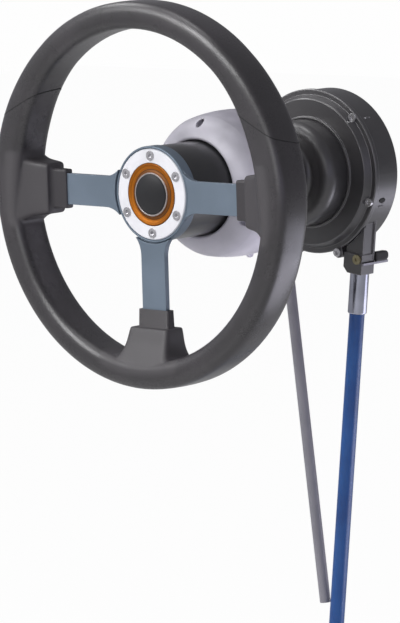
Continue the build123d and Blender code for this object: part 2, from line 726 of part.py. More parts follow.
with BuildPart() as mounting_plate:
    with BuildSketch(across(0)):
        Circle(PLATE_R)
        Circle(SPIGOT_R + RUNNING_GAP, mode=Mode.SUBTRACT)
    extrude(amount=PLATE_THICK)
    with BuildSketch(across(0)):
        for angle in BEZEL_SCREW_ANGLES:
            with Locations(around(angle, BEZEL_SCREW_R)):
                Circle(BEZEL_POST_R)
    extrude(amount=-BEZEL_POST_FRONT_Y)
    with BuildSketch(across(0)):
        with PolarLocations(DASH_HOLE_PCD_R, DASH_HOLE_COUNT, start_angle=45):
            Circle(DASH_HOLE_R)
        for angle in NECK_SCREW_ANGLES:
            with Locations(around(angle, NECK_SCREW_PCD_R)):
                Circle(NECK_SCREW_R)
    extrude(amount=PLATE_THICK, mode=Mode.SUBTRACT)
    with BuildSketch(across(BEZEL_POST_FRONT_Y)):
        for angle in BEZEL_SCREW_ANGLES:
            with Locations(around(angle, BEZEL_SCREW_R)):
                Circle(BEZEL_SCREW_SHANK_R)
    extrude(amount=-14, mode=Mode.SUBTRACT)

with BuildPart() as neck_screws:
    for angle in NECK_SCREW_ANGLES:
        with BuildSketch(across(-PLATE_THICK)):
            with Locations(around(angle, NECK_SCREW_PCD_R)):
                Circle(NECK_SCREW_HEAD_R)
        extrude(amount=NECK_SCREW_HEAD_H)
        with BuildSketch(across(-PLATE_THICK)):
            with Locations(around(angle, NECK_SCREW_PCD_R)):
                Circle(NECK_SCREW_R)
        extrude(amount=-NECK_SCREW_LEN)
        with BuildSketch(across(-PLATE_THICK - NECK_SCREW_HEAD_H)):
            with Locations(around(angle, NECK_SCREW_PCD_R)):
                RegularPolygon(NECK_SCREW_R, 6)
        extrude(amount=-NECK_SCREW_HEAD_H * 0.7, mode=Mode.SUBTRACT)


# Helm: the domed bezel, a hollow moulding screwed to the plate's posts

def bezel_outline(inset):
    """The dome's outline on the XY plane, drawn in by the wall for its inside."""
    crest = (BEZEL_CREST_R - inset * 0.8, BEZEL_CREST_Y + inset * 0.6)
    lip = (BEZEL_LIP_R, BEZEL_LIP_Y + inset * 1.15)
    mouth = (BEZEL_MOUTH_R, BEZEL_LIP_Y + inset + 1.2)
    with BuildLine() as outline:
        Line((0, 0), (BEZEL_BACK_R - inset, 0))
        ThreePointArc(
            (BEZEL_BACK_R - inset, 0), (BEZEL_BELLY_R - inset, BEZEL_BELLY_Y), crest
        )
        ThreePointArc(
            crest,
            ((crest[0] + lip[0]) / 2 + 1.9, (crest[1] + lip[1]) / 2 - 1.9),
            lip,
        )
        ThreePointArc(lip, ((lip[0] + mouth[0]) / 2, (lip[1] + mouth[1]) / 2 - 0.9), mouth)
        Line(mouth, (0, mouth[1]))
        Line((0, mouth[1]), (0, 0))
    make_face(outline.edges())


with BuildPart() as bezel_inside:
    with BuildSketch(Plane.XY):
        bezel_outline(BEZEL_WALL)
    revolve(axis=Axis.Y)
    with BuildSketch(across(BEZEL_POST_FRONT_Y)):
        for angle in BEZEL_SCREW_ANGLES:
            with Locations(around(angle, BEZEL_SCREW_R)):
                Circle(BEZEL_POST_R)
    extrude(amount=-BEZEL_LIP_Y, mode=Mode.SUBTRACT)

with BuildPart() as bezel:
    with BuildSketch(Plane.XY):
        bezel_outline(0)
    revolve(axis=Axis.Y)
    with BuildSketch(radial_plane(EYELET_ANGLE, BEZEL_BELLY_R, EYELET_Y).rotated((0, 90, 0))):
        with Locations((-1.2, 0)):
            Circle(EYELET_R)
    extrude(amount=EYELET_THICK / 2, both=True)
    add(bezel_inside.part, mode=Mode.SUBTRACT)
    with BuildSketch(across(0)):
        Circle(BEZEL_MOUTH_R)
    extrude(amount=-BEZEL_LIP_Y + BEZEL_WALL, mode=Mode.SUBTRACT)
    with BuildSketch(across(BEZEL_SEAT_Y)):
        for angle in BEZEL_SCREW_ANGLES:
            with Locations(around(angle, BEZEL_SCREW_R)):
                Circle(BEZEL_SCREW_HEAD_R + LOOSE_GAP)
    extrude(amount=-BEZEL_LIP_Y, mode=Mode.SUBTRACT)
    with BuildSketch(across(BEZEL_POST_FRONT_Y)):
        for angle in BEZEL_SCREW_ANGLES:
            with Locations(around(angle, BEZEL_SCREW_R)):
                Circle(BEZEL_SCREW_SHANK_R)
    extrude(amount=-BEZEL_LIP_Y, mode=Mode.SUBTRACT)

with BuildPart() as bezel_screws:
    for angle in BEZEL_SCREW_ANGLES:
        with BuildSketch(across(BEZEL_SEAT_Y)):
            with Locations(around(angle, BEZEL_SCREW_R)):
                Circle(BEZEL_SCREW_HEAD_R)
        extrude(amount=2.4)
        with BuildSketch(across(BEZEL_SEAT_Y)):
            with Locations(around(angle, BEZEL_SCREW_R)):
                Circle(BEZEL_SCREW_SHANK_R)
        extrude(amount=-19)
        with BuildSketch(across(BEZEL_SEAT_Y - 2.4)):
            with Locations(around(angle, BEZEL_SCREW_R)):
                Rectangle(3.6, 0.9)
                Rectangle(0.9, 3.6)
        extrude(amount=-1.3, mode=Mode.SUBTRACT)


# Helm: front cover with neck, bell and flange

with BuildPart() as front_cover:
    with BuildSketch(Plane.XY) as cover_section:
        with BuildLine():
            Polyline(
                (BEARING_R, -PLATE_THICK),
                (SPIGOT_R, -PLATE_THICK),
                (SPIGOT_R, 0),
                (NECK_R, 0),
                (NECK_R, BELL_FRONT_Y - BELL_ROOT_FILLET),
            )
            ThreePointArc(
                (NECK_R, BELL_FRONT_Y - BELL_ROOT_FILLET),
                (NECK_R + BELL_ROOT_FILLET * 0.293, BELL_FRONT_Y - BELL_ROOT_FILLET * 0.293),
                (NECK_R + BELL_ROOT_FILLET, BELL_FRONT_Y),
            )
            Line((NECK_R + BELL_ROOT_FILLET, BELL_FRONT_Y), (BELL_R - BELL_SHOULDER_R, BELL_FRONT_Y + 1.5))
            ThreePointArc(
                (BELL_R - BELL_SHOULDER_R, BELL_FRONT_Y + 1.5),
                (BELL_R - BELL_SHOULDER_R * 0.293, BELL_FRONT_Y + 1.5 + BELL_SHOULDER_R * 0.293),
                (BELL_R, BELL_FRONT_Y + 1.5 + BELL_SHOULDER_R),
            )
            Polyline(
                (BELL_R, BELL_FRONT_Y + 1.5 + BELL_SHOULDER_R),
                (BELL_R, COVER_FACE_Y),
                (COVER_FACE_R - 0.8, COVER_FACE_Y),
                (COVER_FACE_R, COVER_FACE_Y + 0.8),
                (COVER_STEP_R, FLANGE_FRONT_Y),
                (FLANGE_R - 0.8, FLANGE_FRONT_Y),
                (FLANGE_R, FLANGE_FRONT_Y + 0.8),
                (FLANGE_R, FLANGE_BACK_Y),
                (CHAMBER_R, FLANGE_BACK_Y),
                (CHAMBER_R, COVER_INNER_Y),
                (BELL_R - COVER_WALL, COVER_INNER_Y),
                (BELL_R - COVER_WALL, BELL_FRONT_Y + 1.5 + BELL_SHOULDER_R),
                (BELL_R - BELL_SHOULDER_R, BELL_FRONT_Y + 1.5 + COVER_WALL),
                (BEARING_R + COVER_WALL, BELL_FRONT_Y + COVER_WALL),
                (BEARING_R + COVER_WALL, BELL_FRONT_Y + COVER_WALL + 4),
                (BEARING_R, BELL_FRONT_Y + COVER_WALL + 4),
                (BEARING_R, BELL_FRONT_Y + COVER_WALL + 4 - BEARING_LEN),
                (SHAFT_CLEAR_R, BELL_FRONT_Y + COVER_WALL + 4 - BEARING_LEN),
                (SHAFT_CLEAR_R, -PLATE_THICK + BEARING_LEN),
                (BEARING_R, -PLATE_THICK + BEARING_LEN),
                (BEARING_R, -PLATE_THICK),
            )
        make_face()
    with BuildSketch(Plane.XY):
        with Locations((BEAD_R, COVER_FACE_Y - BEAD_ROUND * 0.3)):
            Circle(BEAD_ROUND)
    revolve(axis=Axis.Y)
    with BuildSketch(across(FLANGE_FRONT_Y)):
        for angle, radius in LUG_PLACES:
            with Locations(around(angle, radius)):
                Circle(LUG_R)
            with Locations(around(angle, radius - LUG_R)):
                Rectangle(2 * LUG_R, 2 * LUG_R, rotation=angle)
        Circle(COVER_STEP_R, mode=Mode.SUBTRACT)
    extrude(amount=-(FLANGE_BACK_Y - FLANGE_FRONT_Y))
    with BuildSketch(across(FLANGE_FRONT_Y)):
        for angle, radius in ALL_SCREWS:
            with Locations(around(angle, radius)):
                Circle(HOUSING_SCREW_R)
    extrude(amount=-(FLANGE_BACK_Y - FLANGE_FRONT_Y), mode=Mode.SUBTRACT)
    with BuildSketch(across(FLANGE_FRONT_Y)):
        for angle, radius in ALL_SCREWS:
            with Locations(around(angle, radius)):
                Circle(HOUSING_SCREW_HEAD_R + LOOSE_GAP)
    extrude(amount=FLANGE_FRONT_Y - COVER_FACE_Y, mode=Mode.SUBTRACT)
    with BuildSketch(across(0)):
        for angle in NECK_SCREW_ANGLES:
            with Locations(around(angle, NECK_SCREW_PCD_R)):
                Circle(NECK_SCREW_R)
    extrude(amount=-(NECK_SCREW_LEN - PLATE_THICK), mode=Mode.SUBTRACT)

with BuildPart() as neck_bearing:
    with BuildSketch(across(-PLATE_THICK)):
        Circle(BEARING_R)
        Circle(SHAFT_R + RUNNING_GAP, mode=Mode.SUBTRACT)
    extrude(amount=-BEARING_LEN)

with BuildPart() as cover_bearing:
    with BuildSketch(across(BELL_FRONT_Y + COVER_WALL + 4)):
        Circle(BEARING_R)
        Circle(SHAFT_R + RUNNING_GAP, mode=Mode.SUBTRACT)
    extrude(amount=BEARING_LEN)

with BuildPart() as cover_gasket:
    with BuildSketch(across(HOUSING_FRONT_Y)):
        Circle(HOUSING_R)
        for angle, radius in LUG_PLACES:
            with Locations(around(angle, radius)):
                Circle(LUG_R)
            with Locations(around(angle, radius - LUG_R)):
                Rectangle(2 * LUG_R, 2 * LUG_R, rotation=angle)
        Circle(CHAMBER_R, mode=Mode.SUBTRACT)
        for angle, radius in ALL_SCREWS:
            with Locations(around(angle, radius)):
                Circle(HOUSING_SCREW_R, mode=Mode.SUBTRACT)
    extrude(amount=GASKET_THICK)


# Helm: rear housing, a cast cup with the two cable outlets

with BuildPart() as rear_housing:
    with BuildSketch(across(HOUSING_FRONT_Y)):
        Circle(HOUSING_R)
    extrude(amount=-(HOUSING_BACK_Y - HOUSING_FRONT_Y))
    fillet(rear_housing.edges().group_by(Axis.Y)[-1], radius=2.5)
    with BuildSketch(across(HOUSING_FRONT_Y)):
        for angle, radius in LUG_PLACES:
            with Locations(around(angle, radius)):
                Circle(LUG_R)
            with Locations(around(angle, radius - LUG_R)):
                Rectangle(2 * LUG_R, 2 * LUG_R, rotation=angle)
    extrude(amount=-LUG_LEN)
    with BuildSketch(across(HOUSING_BACK_Y)):
        Circle(HOUSING_BOSS_R)
    extrude(amount=-HOUSING_BOSS_PROUD)
    for plane, facing in ((RIGHT, 1), (LEFT, -1)):
        with BuildSketch(plane.offset(COLUMN_START)):
            with Locations((0, facing * COLUMN_MID)):
                Rectangle(COLUMN_W, COLUMN_D)
        extrude(amount=COLUMN_LEN)
    with BuildSketch(RIGHT.offset(COLUMN_START + 8)):
        with Locations((COLUMN_W / 2, RIB_W / 2 - COLUMN_BACK)):
            Rectangle(2 * RIB_PROUD, RIB_W)
    extrude(amount=COLUMN_LEN - COLLAR_LEN)
    with BuildSketch(across(HOUSING_FRONT_Y)):
        Circle(FLANGE_R + LOOSE_GAP)
    extrude(amount=COLUMN_D, mode=Mode.SUBTRACT)
    with BuildSketch(RIGHT.offset(COLUMN_END - COLLAR_LEN)):
        with Locations((0, COLLAR_MID)):
            Rectangle(COLLAR_W, COLLAR_D)
    extrude(amount=COLLAR_LEN)
    collar_corner = (
        rear_housing.edges().filter_by(Axis.Y).sort_by(Axis.Z)[0:2].sort_by(Axis.X)[0]
    )
    chamfer(collar_corner, COLLAR_CHAMFER)
    for angle in NIB_ANGLES:
        with BuildSketch(radial_plane(angle, HOUSING_R - 1, DRAIN_Y)):
            Rectangle(NIB_W, NIB_LEN)
        extrude(amount=NIB_PROUD + 1)
    with BuildSketch(across(HOUSING_FRONT_Y)):
        Circle(CHAMBER_R)
    extrude(amount=-(CHAMBER_BACK_Y - HOUSING_FRONT_Y), mode=Mode.SUBTRACT)
    with BuildSketch(across(HOUSING_FRONT_Y)):
        Circle(HOUSING_R - SKIRT_WALL)
        Circle(CHAMBER_R + TRACK_WALL, mode=Mode.SUBTRACT)
        for angle, radius in ALL_SCREWS:
            with Locations(around(angle, min(radius, HOUSING_R - SCREW_BOSS_R + 1))):
                Circle(SCREW_BOSS_R, mode=Mode.SUBTRACT)
        for side in (1, -1):
            with Locations((side * WRAP_R, -HOUSING_R / 2 + 8)):
                Rectangle(COLUMN_W + 14, HOUSING_R, rotation=-side * CABLE_LEAN, mode=Mode.SUBTRACT)
    extrude(amount=-(CHAMBER_BACK_Y - HOUSING_FRONT_Y), mode=Mode.SUBTRACT)
    with BuildSketch(across(CHAMBER_BACK_Y)):
        Circle(HOUSING_BOSS_R)
        for angle in PLANET_ANGLES:
            with Locations(around(angle, CARRIER_R)):
                Circle(PIN_BOSS_R)
    extrude(amount=CHAMBER_BACK_Y - PIN_BOSS_FRONT_Y)
    with BuildSketch(across(PIN_BOSS_FRONT_Y)):
        Circle(BUSH_R)
        for angle in PLANET_ANGLES:
            with Locations(around(angle, CARRIER_R)):
                Circle(PIN_R)
    extrude(amount=-(PIN_SEAT_Y - PIN_BOSS_FRONT_Y), mode=Mode.SUBTRACT)
    for plane in (RIGHT, LEFT):
        with BuildSketch(plane.offset(-2)):
            Circle(CORE_BORE_R)
        extrude(amount=COLUMN_END + 4, mode=Mode.SUBTRACT)
    with BuildSketch(RIGHT.offset(COLUMN_END - FERRULE_TAIL_LEN)):
        Circle(FERRULE_TAIL_R)
    extrude(amount=FERRULE_TAIL_LEN, mode=Mode.SUBTRACT)
    with BuildSketch(LEFT.offset(SPENT_SEAT)):
        Circle(SPENT_R)
    extrude(amount=COLUMN_LEN, mode=Mode.SUBTRACT)
    with BuildSketch(RIGHT.offset(CLIP_LEVEL - CLIP_PLATE_THICK / 2 - LOOSE_GAP)):
        with Locations((CLIP_ARM_START - LOOSE_GAP + COLLAR_W / 2, 0)):
            Rectangle(COLLAR_W, 2 * (CLIP_FORK_HALF_W + LOOSE_GAP))
    extrude(amount=CLIP_PLATE_THICK + 2 * LOOSE_GAP, mode=Mode.SUBTRACT)
    with BuildSketch(across(HOUSING_FRONT_Y)):
        for angle, radius in ALL_SCREWS:
            with Locations(around(angle, radius)):
                Circle(HOUSING_SCREW_R)
    extrude(amount=-(HOUSING_SCREW_LEN - (HOUSING_FRONT_Y - FLANGE_FRONT_Y)), mode=Mode.SUBTRACT)
    with BuildSketch(radial_plane(DRAIN_ANGLE, HOUSING_R + 1, DRAIN_Y)):
        SlotOverall(DRAIN_LEN, DRAIN_W)
    extrude(amount=-SKIRT_WALL - 2, mode=Mode.SUBTRACT)
    with BuildSketch(across(COLLAR_FRONT_Y)):
        with Locations(SET_SCREW_AT):
            Circle(SET_SCREW_R)
    extrude(amount=-SET_SCREW_LEN, mode=Mode.SUBTRACT)

with BuildPart() as rear_bush:
    with BuildSketch(across(PIN_SEAT_Y)):
        Circle(BUSH_R)
        Circle(JOURNAL_R + RUNNING_GAP, mode=Mode.SUBTRACT)
    extrude(amount=PIN_SEAT_Y - PIN_BOSS_FRONT_Y)

with BuildPart() as housing_screws:
    for angle, radius in ALL_SCREWS:
        with BuildSketch(across(FLANGE_FRONT_Y)):
            with Locations(around(angle, radius)):
                Circle(HOUSING_SCREW_HEAD_R)
        extrude(amount=HOUSING_SCREW_HEAD_H)
        with BuildSketch(across(FLANGE_FRONT_Y)):
            with Locations(around(angle, radius)):
                Circle(HOUSING_SCREW_R)
        extrude(amount=-HOUSING_SCREW_LEN)
        with BuildSketch(across(FLANGE_FRONT_Y - HOUSING_SCREW_HEAD_H)):
            with Locations(around(angle, radius)):
                RegularPolygon(HOUSING_SCREW_R * 1.1, 6)
        extrude(amount=-HOUSING_SCREW_HEAD_H * 0.6, mode=Mode.SUBTRACT)


# Helm: planet gears on their pins

with BuildPart() as planet_pins:
    with BuildSketch(across(PIN_SEAT_Y)):
        for angle in PLANET_ANGLES:
            with Locations(around(angle, CARRIER_R)):
                Circle(PIN_R)
    extrude(amount=PIN_SEAT_Y - PIN_FRONT_Y)

with BuildPart() as pin_clips:
    with BuildSketch(across(GEAR_FRONT_Y - LOOSE_GAP)):
        for angle in PLANET_ANGLES:
            with Locations(around(angle, CARRIER_R)):
                Circle(CLIP_R)
                Circle(PIN_R, mode=Mode.SUBTRACT)
    extrude(amount=CLIP_THICK)

planet_gears = []
for number, angle in enumerate(PLANET_ANGLES, start=1):
    with BuildPart() as planet_gear:
        with BuildSketch(across(GEAR_FRONT_Y)):
            with BuildLine():
                gear_outline(
                    PLANET_TEETH,
                    PLANET_R - DEDENDUM * MODULE,
                    PLANET_R + ADDENDUM * MODULE,
                    BACKLASH,
                    angle + 180.0 / PLANET_TEETH,
                    centre=around(angle, CARRIER_R),
                )
            make_face()
            with Locations(around(angle, CARRIER_R)):
                Circle(PIN_R + RUNNING_GAP, mode=Mode.SUBTRACT)
        extrude(amount=-(GEAR_BACK_Y - GEAR_FRONT_Y))
    planet_gears.append(planet_gear)


# Helm: cable drum with the ring gear inside its rim, on a bush on the shaft

with BuildPart() as cable_drum:
    with BuildSketch(Plane.XY):
        with BuildLine():
            Polyline(
                (DRUM_BUSH_R, DRUM_FRONT_Y - 2),
                (DRUM_HUB_R, DRUM_FRONT_Y - 2),
                (DRUM_HUB_R, DRUM_FRONT_Y),
                (DRUM_R, DRUM_FRONT_Y),
                (DRUM_R, DRUM_BACK_Y),
                (RING_R - ADDENDUM * MODULE - 3, DRUM_BACK_Y),
                (RING_R - ADDENDUM * MODULE - 3, DRUM_FRONT_Y + DRUM_WEB),
                (DRUM_HUB_R, DRUM_FRONT_Y + DRUM_WEB),
                (DRUM_HUB_R, DRUM_HUB_BACK_Y),
                (DRUM_BUSH_R, DRUM_HUB_BACK_Y),
                close=True,
            )
        make_face()
    revolve(axis=Axis.Y)
    with BuildSketch(across(DRUM_FRONT_Y + DRUM_WEB)):
        with BuildLine():
            gear_outline(
                RING_TEETH,
                RING_R - ADDENDUM * MODULE,
                RING_R + DEDENDUM * MODULE,
                -BACKLASH,
                PLANET_ANGLES[0] + 180.0 / RING_TEETH,
            )
        make_face()
        Circle(DRUM_HUB_R, mode=Mode.SUBTRACT)
    extrude(amount=-(DRUM_BACK_Y - DRUM_FRONT_Y - DRUM_WEB), mode=Mode.SUBTRACT)
    with BuildSketch(Plane.XY):
        with Locations((WRAP_R, CABLE_Y)):
            Circle(CORE_R + LOOSE_GAP)
        with Locations((WRAP_R + DRUM_R / 2, CABLE_Y)):
            Rectangle(DRUM_R, 2 * (CORE_R + LOOSE_GAP))
    revolve(axis=Axis.Y, mode=Mode.SUBTRACT)
    with BuildSketch(across(DRUM_FRONT_Y)):
        with PolarLocations((DRUM_HUB_R + RING_R) / 2, 6, start_angle=30):
            Circle(7.5)
    extrude(amount=-DRUM_WEB, mode=Mode.SUBTRACT)

with BuildPart() as drum_bush:
    with BuildSketch(across(DRUM_HUB_BACK_Y)):
        Circle(DRUM_BUSH_R)
        Circle(SHAFT_R + RUNNING_GAP, mode=Mode.SUBTRACT)
    extrude(amount=DRUM_HUB_BACK_Y - DRUM_FRONT_Y + 2)


# Cable core round the drum, into the conduit on one side and the spent-travel tube on the other

with BuildPart() as cable_core:
    with BuildLine() as core_path:
        right_end = RIGHT.from_local_coords((0, 0, COLUMN_END + FERRULE_LEN - LOOSE_GAP))
        left_end = LEFT.from_local_coords((0, 0, SPENT_CORE_END))
        Line(right_end, RIGHT.origin)
        ThreePointArc(RIGHT.origin, (0, CABLE_Y, WRAP_R), LEFT.origin)
        Line(LEFT.origin, left_end)
    with BuildSketch(Plane(origin=right_end, z_dir=-RIGHT.z_dir)):
        Circle(CORE_R)
    sweep(path=core_path.line)

with BuildPart() as ferrule:
    with BuildSketch(RIGHT.offset(COLUMN_END - FERRULE_TAIL_LEN)):
        Circle(FERRULE_TAIL_R)
    extrude(amount=FERRULE_TAIL_LEN)
    with BuildSketch(RIGHT.offset(COLUMN_END)):
        Circle(FERRULE_R)
    extrude(amount=FERRULE_LEN)
    fillet(ferrule.edges().filter_by(GeomType.CIRCLE).sort_by(Axis.Z)[0], radius=1.2)
    with BuildSketch(RIGHT.offset(CLIP_LEVEL - CLIP_PLATE_THICK / 2 - LOOSE_GAP)):
        Circle(FERRULE_R + 1)
        Circle(FERRULE_NECK_R, mode=Mode.SUBTRACT)
    extrude(amount=CLIP_PLATE_THICK + 2 * LOOSE_GAP, mode=Mode.SUBTRACT)
    with BuildSketch(RIGHT.offset(COLUMN_END - FERRULE_TAIL_LEN)):
        Circle(CORE_BORE_R)
    extrude(amount=FERRULE_TAIL_LEN + FERRULE_LEN, mode=Mode.SUBTRACT)

with BuildPart() as lock_clip:
    with BuildSketch(RIGHT.offset(CLIP_LEVEL - CLIP_PLATE_THICK / 2)):
        with Locations(((CLIP_ARM_START + CLIP_BAR_X) / 2, 0)):
            Rectangle(CLIP_BAR_X - CLIP_ARM_START, 2 * CLIP_FORK_HALF_W)
        with Locations((CLIP_ARM_START, 0)):
            Rectangle(-2 * CLIP_ARM_START, 2 * (FERRULE_NECK_R + LOOSE_GAP), mode=Mode.SUBTRACT)
        Circle(FERRULE_NECK_R + LOOSE_GAP, mode=Mode.SUBTRACT)
        with Locations((CLIP_BAR_X + CLIP_BAR_W / 2, COLLAR_MID - CLIP_GRIP_LEN / 2)):
            Rectangle(CLIP_BAR_W, COLLAR_D + CLIP_GRIP_LEN)
    extrude(amount=CLIP_PLATE_THICK)

GRIP_MIDDLE_Y = CABLE_Y + COLLAR_BACK + LOOSE_GAP + CLIP_GRIP_LEN / 2

with BuildPart() as clip_grip:
    with BuildSketch(RIGHT.offset(CLIP_LEVEL - CLIP_PLATE_THICK / 2 - CLIP_GRIP_H)):
        with Locations((CLIP_BAR_X + CLIP_BAR_W - CLIP_GRIP_THICK / 2, CABLE_Y - GRIP_MIDDLE_Y)):
            Rectangle(CLIP_GRIP_THICK, CLIP_GRIP_LEN)
    extrude(amount=CLIP_GRIP_H)
    fillet(clip_grip.edges().sort_by(Axis.Y)[-4:].sort_by(Axis.Z)[-1], radius=CLIP_GRIP_ROUND)
    fillet(clip_grip.faces().sort_by(Axis.X)[-1].edges(), radius=0.8)

with BuildPart() as set_screw:
    with BuildSketch(across(COLLAR_FRONT_Y)):
        with Locations(SET_SCREW_AT):
            Circle(SET_SCREW_HEAD_R)
    extrude(amount=SET_SCREW_HEAD_H)
    with BuildSketch(across(COLLAR_FRONT_Y - SET_SCREW_HEAD_H)):
        with Locations(SET_SCREW_AT):
            RegularPolygon(SET_SCREW_R, 6)
    extrude(amount=-SET_SCREW_HEAD_H * 0.7, mode=Mode.SUBTRACT)
    with BuildSketch(across(COLLAR_FRONT_Y)):
        with Locations(SET_SCREW_AT):
            Circle(SET_SCREW_R)
    extrude(amount=-SET_SCREW_LEN)

with BuildPart() as spent_tube:
    with BuildSketch(LEFT.offset(SPENT_SEAT)):
        Circle(SPENT_R)
        Circle(SPENT_R - SPENT_WALL, mode=Mode.SUBTRACT)
    extrude(amount=SPENT_END - SPENT_SEAT)

with BuildPart() as spent_collar:
    with BuildSketch(LEFT.offset(COLUMN_START + COLUMN_LEN)):
        Circle(SPENT_COLLAR_R)
        Circle(SPENT_R, mode=Mode.SUBTRACT)
    extrude(amount=SPENT_COLLAR_LEN)
    chamfer(spent_collar.edges().sort_by(Axis.Z)[0:2].sort_by(SortBy.LENGTH)[-1], 1)


# Cable conduit, hanging straight from the ferrule into its tied coil below

lean = radians(CABLE_LEAN)
COIL_CENTRE = RIGHT.from_local_coords((-COIL_R, 0, COIL_ENTRY))
COIL_FRONT_Y = CABLE_Y - CABLE_R
COIL_TURNS = COIL_EXTRA_TURNS + (270.0 - CABLE_LEAN) / 360.0
COIL_DEPTH = COIL_TURNS * COIL_PITCH + 2 * CABLE_R
TAIL_Y = CABLE_Y + COIL_TURNS * COIL_PITCH
TAIL_Z = COIL_CENTRE.Z + COIL_R
CONDUIT_START = COLUMN_END + FERRULE_LEN
END_X = COIL_CENTRE.X + TAIL_LEN

with BuildPart() as cable_run:
    with BuildSketch(RIGHT.offset(CONDUIT_START)):
        Circle(CABLE_R)
    extrude(amount=COIL_ENTRY - COIL_STUB - CONDUIT_START)

coil_seam = radians(COIL_SEAM_TURN)
coil_section_plane = Plane(
    origin=COIL_CENTRE,
    x_dir=(cos(coil_seam), 0, sin(coil_seam)),
    z_dir=(-sin(coil_seam), 0, cos(coil_seam)),
)

with BuildPart() as cable_coil:
    with BuildSketch(coil_section_plane):
        with Locations((COIL_R, COIL_FRONT_Y + COIL_DEPTH / 2 - CABLE_Y)):
            RectangleRounded(2 * CABLE_R, COIL_DEPTH, COIL_CORNER_R)
    revolve(axis=Axis(COIL_CENTRE, (0, 1, 0)))
    with BuildSketch(RIGHT.offset(COIL_ENTRY - COIL_STUB)):
        Circle(CABLE_R)
    extrude(amount=COIL_STUB)
    with BuildSketch(Plane(origin=(COIL_CENTRE.X, TAIL_Y, TAIL_Z), z_dir=(1, 0, 0))):
        Circle(CABLE_R)
    extrude(amount=COIL_STUB)

with BuildPart() as cable_tail:
    with BuildSketch(Plane(origin=(COIL_CENTRE.X + COIL_STUB, TAIL_Y, TAIL_Z), z_dir=(1, 0, 0))):
        Circle(CABLE_R)
    extrude(amount=TAIL_LEN - COIL_STUB)

with BuildPart() as coil_ties:
    for angle in TIE_ANGLES:
        a = radians(angle)
        tie_mid_y = COIL_FRONT_Y + COIL_DEPTH / 2
        tie_plane = Plane(
            origin=(COIL_CENTRE.X + COIL_R * cos(a), tie_mid_y, COIL_CENTRE.Z + COIL_R * sin(a)),
            x_dir=(cos(a), 0, sin(a)),
            z_dir=(-sin(a), 0, cos(a)),
        )
        with BuildSketch(tie_plane):
            RectangleRounded(
                2 * (CABLE_R + LOOSE_GAP + TIE_THICK),
                COIL_DEPTH + 2 * (LOOSE_GAP + TIE_THICK),
                COIL_CORNER_R,
            )
            RectangleRounded(
                2 * (CABLE_R + LOOSE_GAP), COIL_DEPTH + 2 * LOOSE_GAP, COIL_CORNER_R - TIE_THICK,
                mode=Mode.SUBTRACT,
            )
        extrude(amount=TIE_W / 2, both=True)


# Engine end: crimped hub, captive nut, guide tube and sliding ram

END_AXIS = Plane(origin=(END_X, TAIL_Y, TAIL_Z), x_dir=(0, 1, 0), z_dir=(1, 0, 0))
FLANGE_START = END_HUB_LEN + END_NECK_LEN
GUIDE_START = FLANGE_START + END_FLANGE_LEN
RAM_START = GUIDE_START + RAM_STOP_GAP + RAM_STROKE / 2

with BuildPart() as end_hub:
    with BuildSketch(END_AXIS):
        Circle(END_HUB_R)
    extrude(amount=END_HUB_LEN)
    fillet(end_hub.edges().filter_by(GeomType.CIRCLE).sort_by(Axis.X)[0], radius=1.5)
    with BuildSketch(END_AXIS.offset(END_HUB_LEN)):
        Circle(END_NECK_R)
    extrude(amount=END_NECK_LEN)
    with BuildSketch(END_AXIS.offset(FLANGE_START)):
        Circle(END_FLANGE_R)
    extrude(amount=END_FLANGE_LEN)
    for crimp in (8, 16, 24):
        with BuildSketch(END_AXIS.offset(crimp)):
            Circle(END_HUB_R)
            Circle(END_HUB_R - 0.6, mode=Mode.SUBTRACT)
        extrude(amount=3, mode=Mode.SUBTRACT)

with BuildPart() as end_nut:
    with BuildSketch(END_AXIS.offset(END_HUB_LEN + LOOSE_GAP / 2)):
        RegularPolygon(END_NUT_ACROSS / 2, 6, major_radius=False)
        Circle(END_NECK_R + RUNNING_GAP, mode=Mode.SUBTRACT)
    extrude(amount=END_NUT_LEN)
    with BuildSketch(END_AXIS.offset(FLANGE_START - LOOSE_GAP / 2)):
        Circle(END_NUT_BORE_R)
    extrude(amount=END_NUT_LEN, mode=Mode.SUBTRACT)

with BuildPart() as guide_tube:
    with BuildSketch(END_AXIS.offset(GUIDE_START)):
        Circle(GUIDE_R)
    extrude(amount=GUIDE_LEN)
    chamfer(guide_tube.edges().filter_by(GeomType.CIRCLE).sort_by(Axis.X)[-1], 0.8)

RAM_TIP = END_X + RAM_START + RAM_LEN

with BuildPart() as ram:
    with BuildSketch(END_AXIS.offset(RAM_START)):
        Circle(RAM_R)
    extrude(amount=RAM_LEN)
    chamfer(ram.edges().filter_by(GeomType.CIRCLE).sort_by(Axis.X)[0], 0.8)
    with BuildSketch(END_AXIS.offset(RAM_START)):
        Circle(GUIDE_R + RUNNING_GAP)
    extrude(amount=GUIDE_LEN - RAM_STOP_GAP + RAM_BORE_SPARE, mode=Mode.SUBTRACT)
    with BuildSketch(END_AXIS.offset(RAM_START + RAM_LEN - RAM_EYE_LEN)):
        for side in (1, -1):
            with Locations((side * (RAM_EYE_THICK / 2 + RAM_R / 2), 0)):
                Rectangle(RAM_R, 2 * RAM_R + 2)
    extrude(amount=RAM_EYE_LEN, mode=Mode.SUBTRACT)
    with BuildSketch(Plane.XZ.offset(-TAIL_Y)):
        with Locations((RAM_TIP - RAM_R / 2, TAIL_Z)):
            Rectangle(RAM_R, 2 * RAM_R + 1)
        with Locations((RAM_TIP - RAM_R, TAIL_Z)):
            Circle(RAM_R, mode=Mode.SUBTRACT)
    extrude(amount=RAM_R, both=True, mode=Mode.SUBTRACT)
    with BuildSketch(Plane.XZ.offset(-TAIL_Y)):
        with Locations((RAM_TIP - RAM_R, TAIL_Z)):
            Circle(RAM_EYE_R)
    extrude(amount=RAM_R, both=True, mode=Mode.SUBTRACT)


# Write one file for each piece

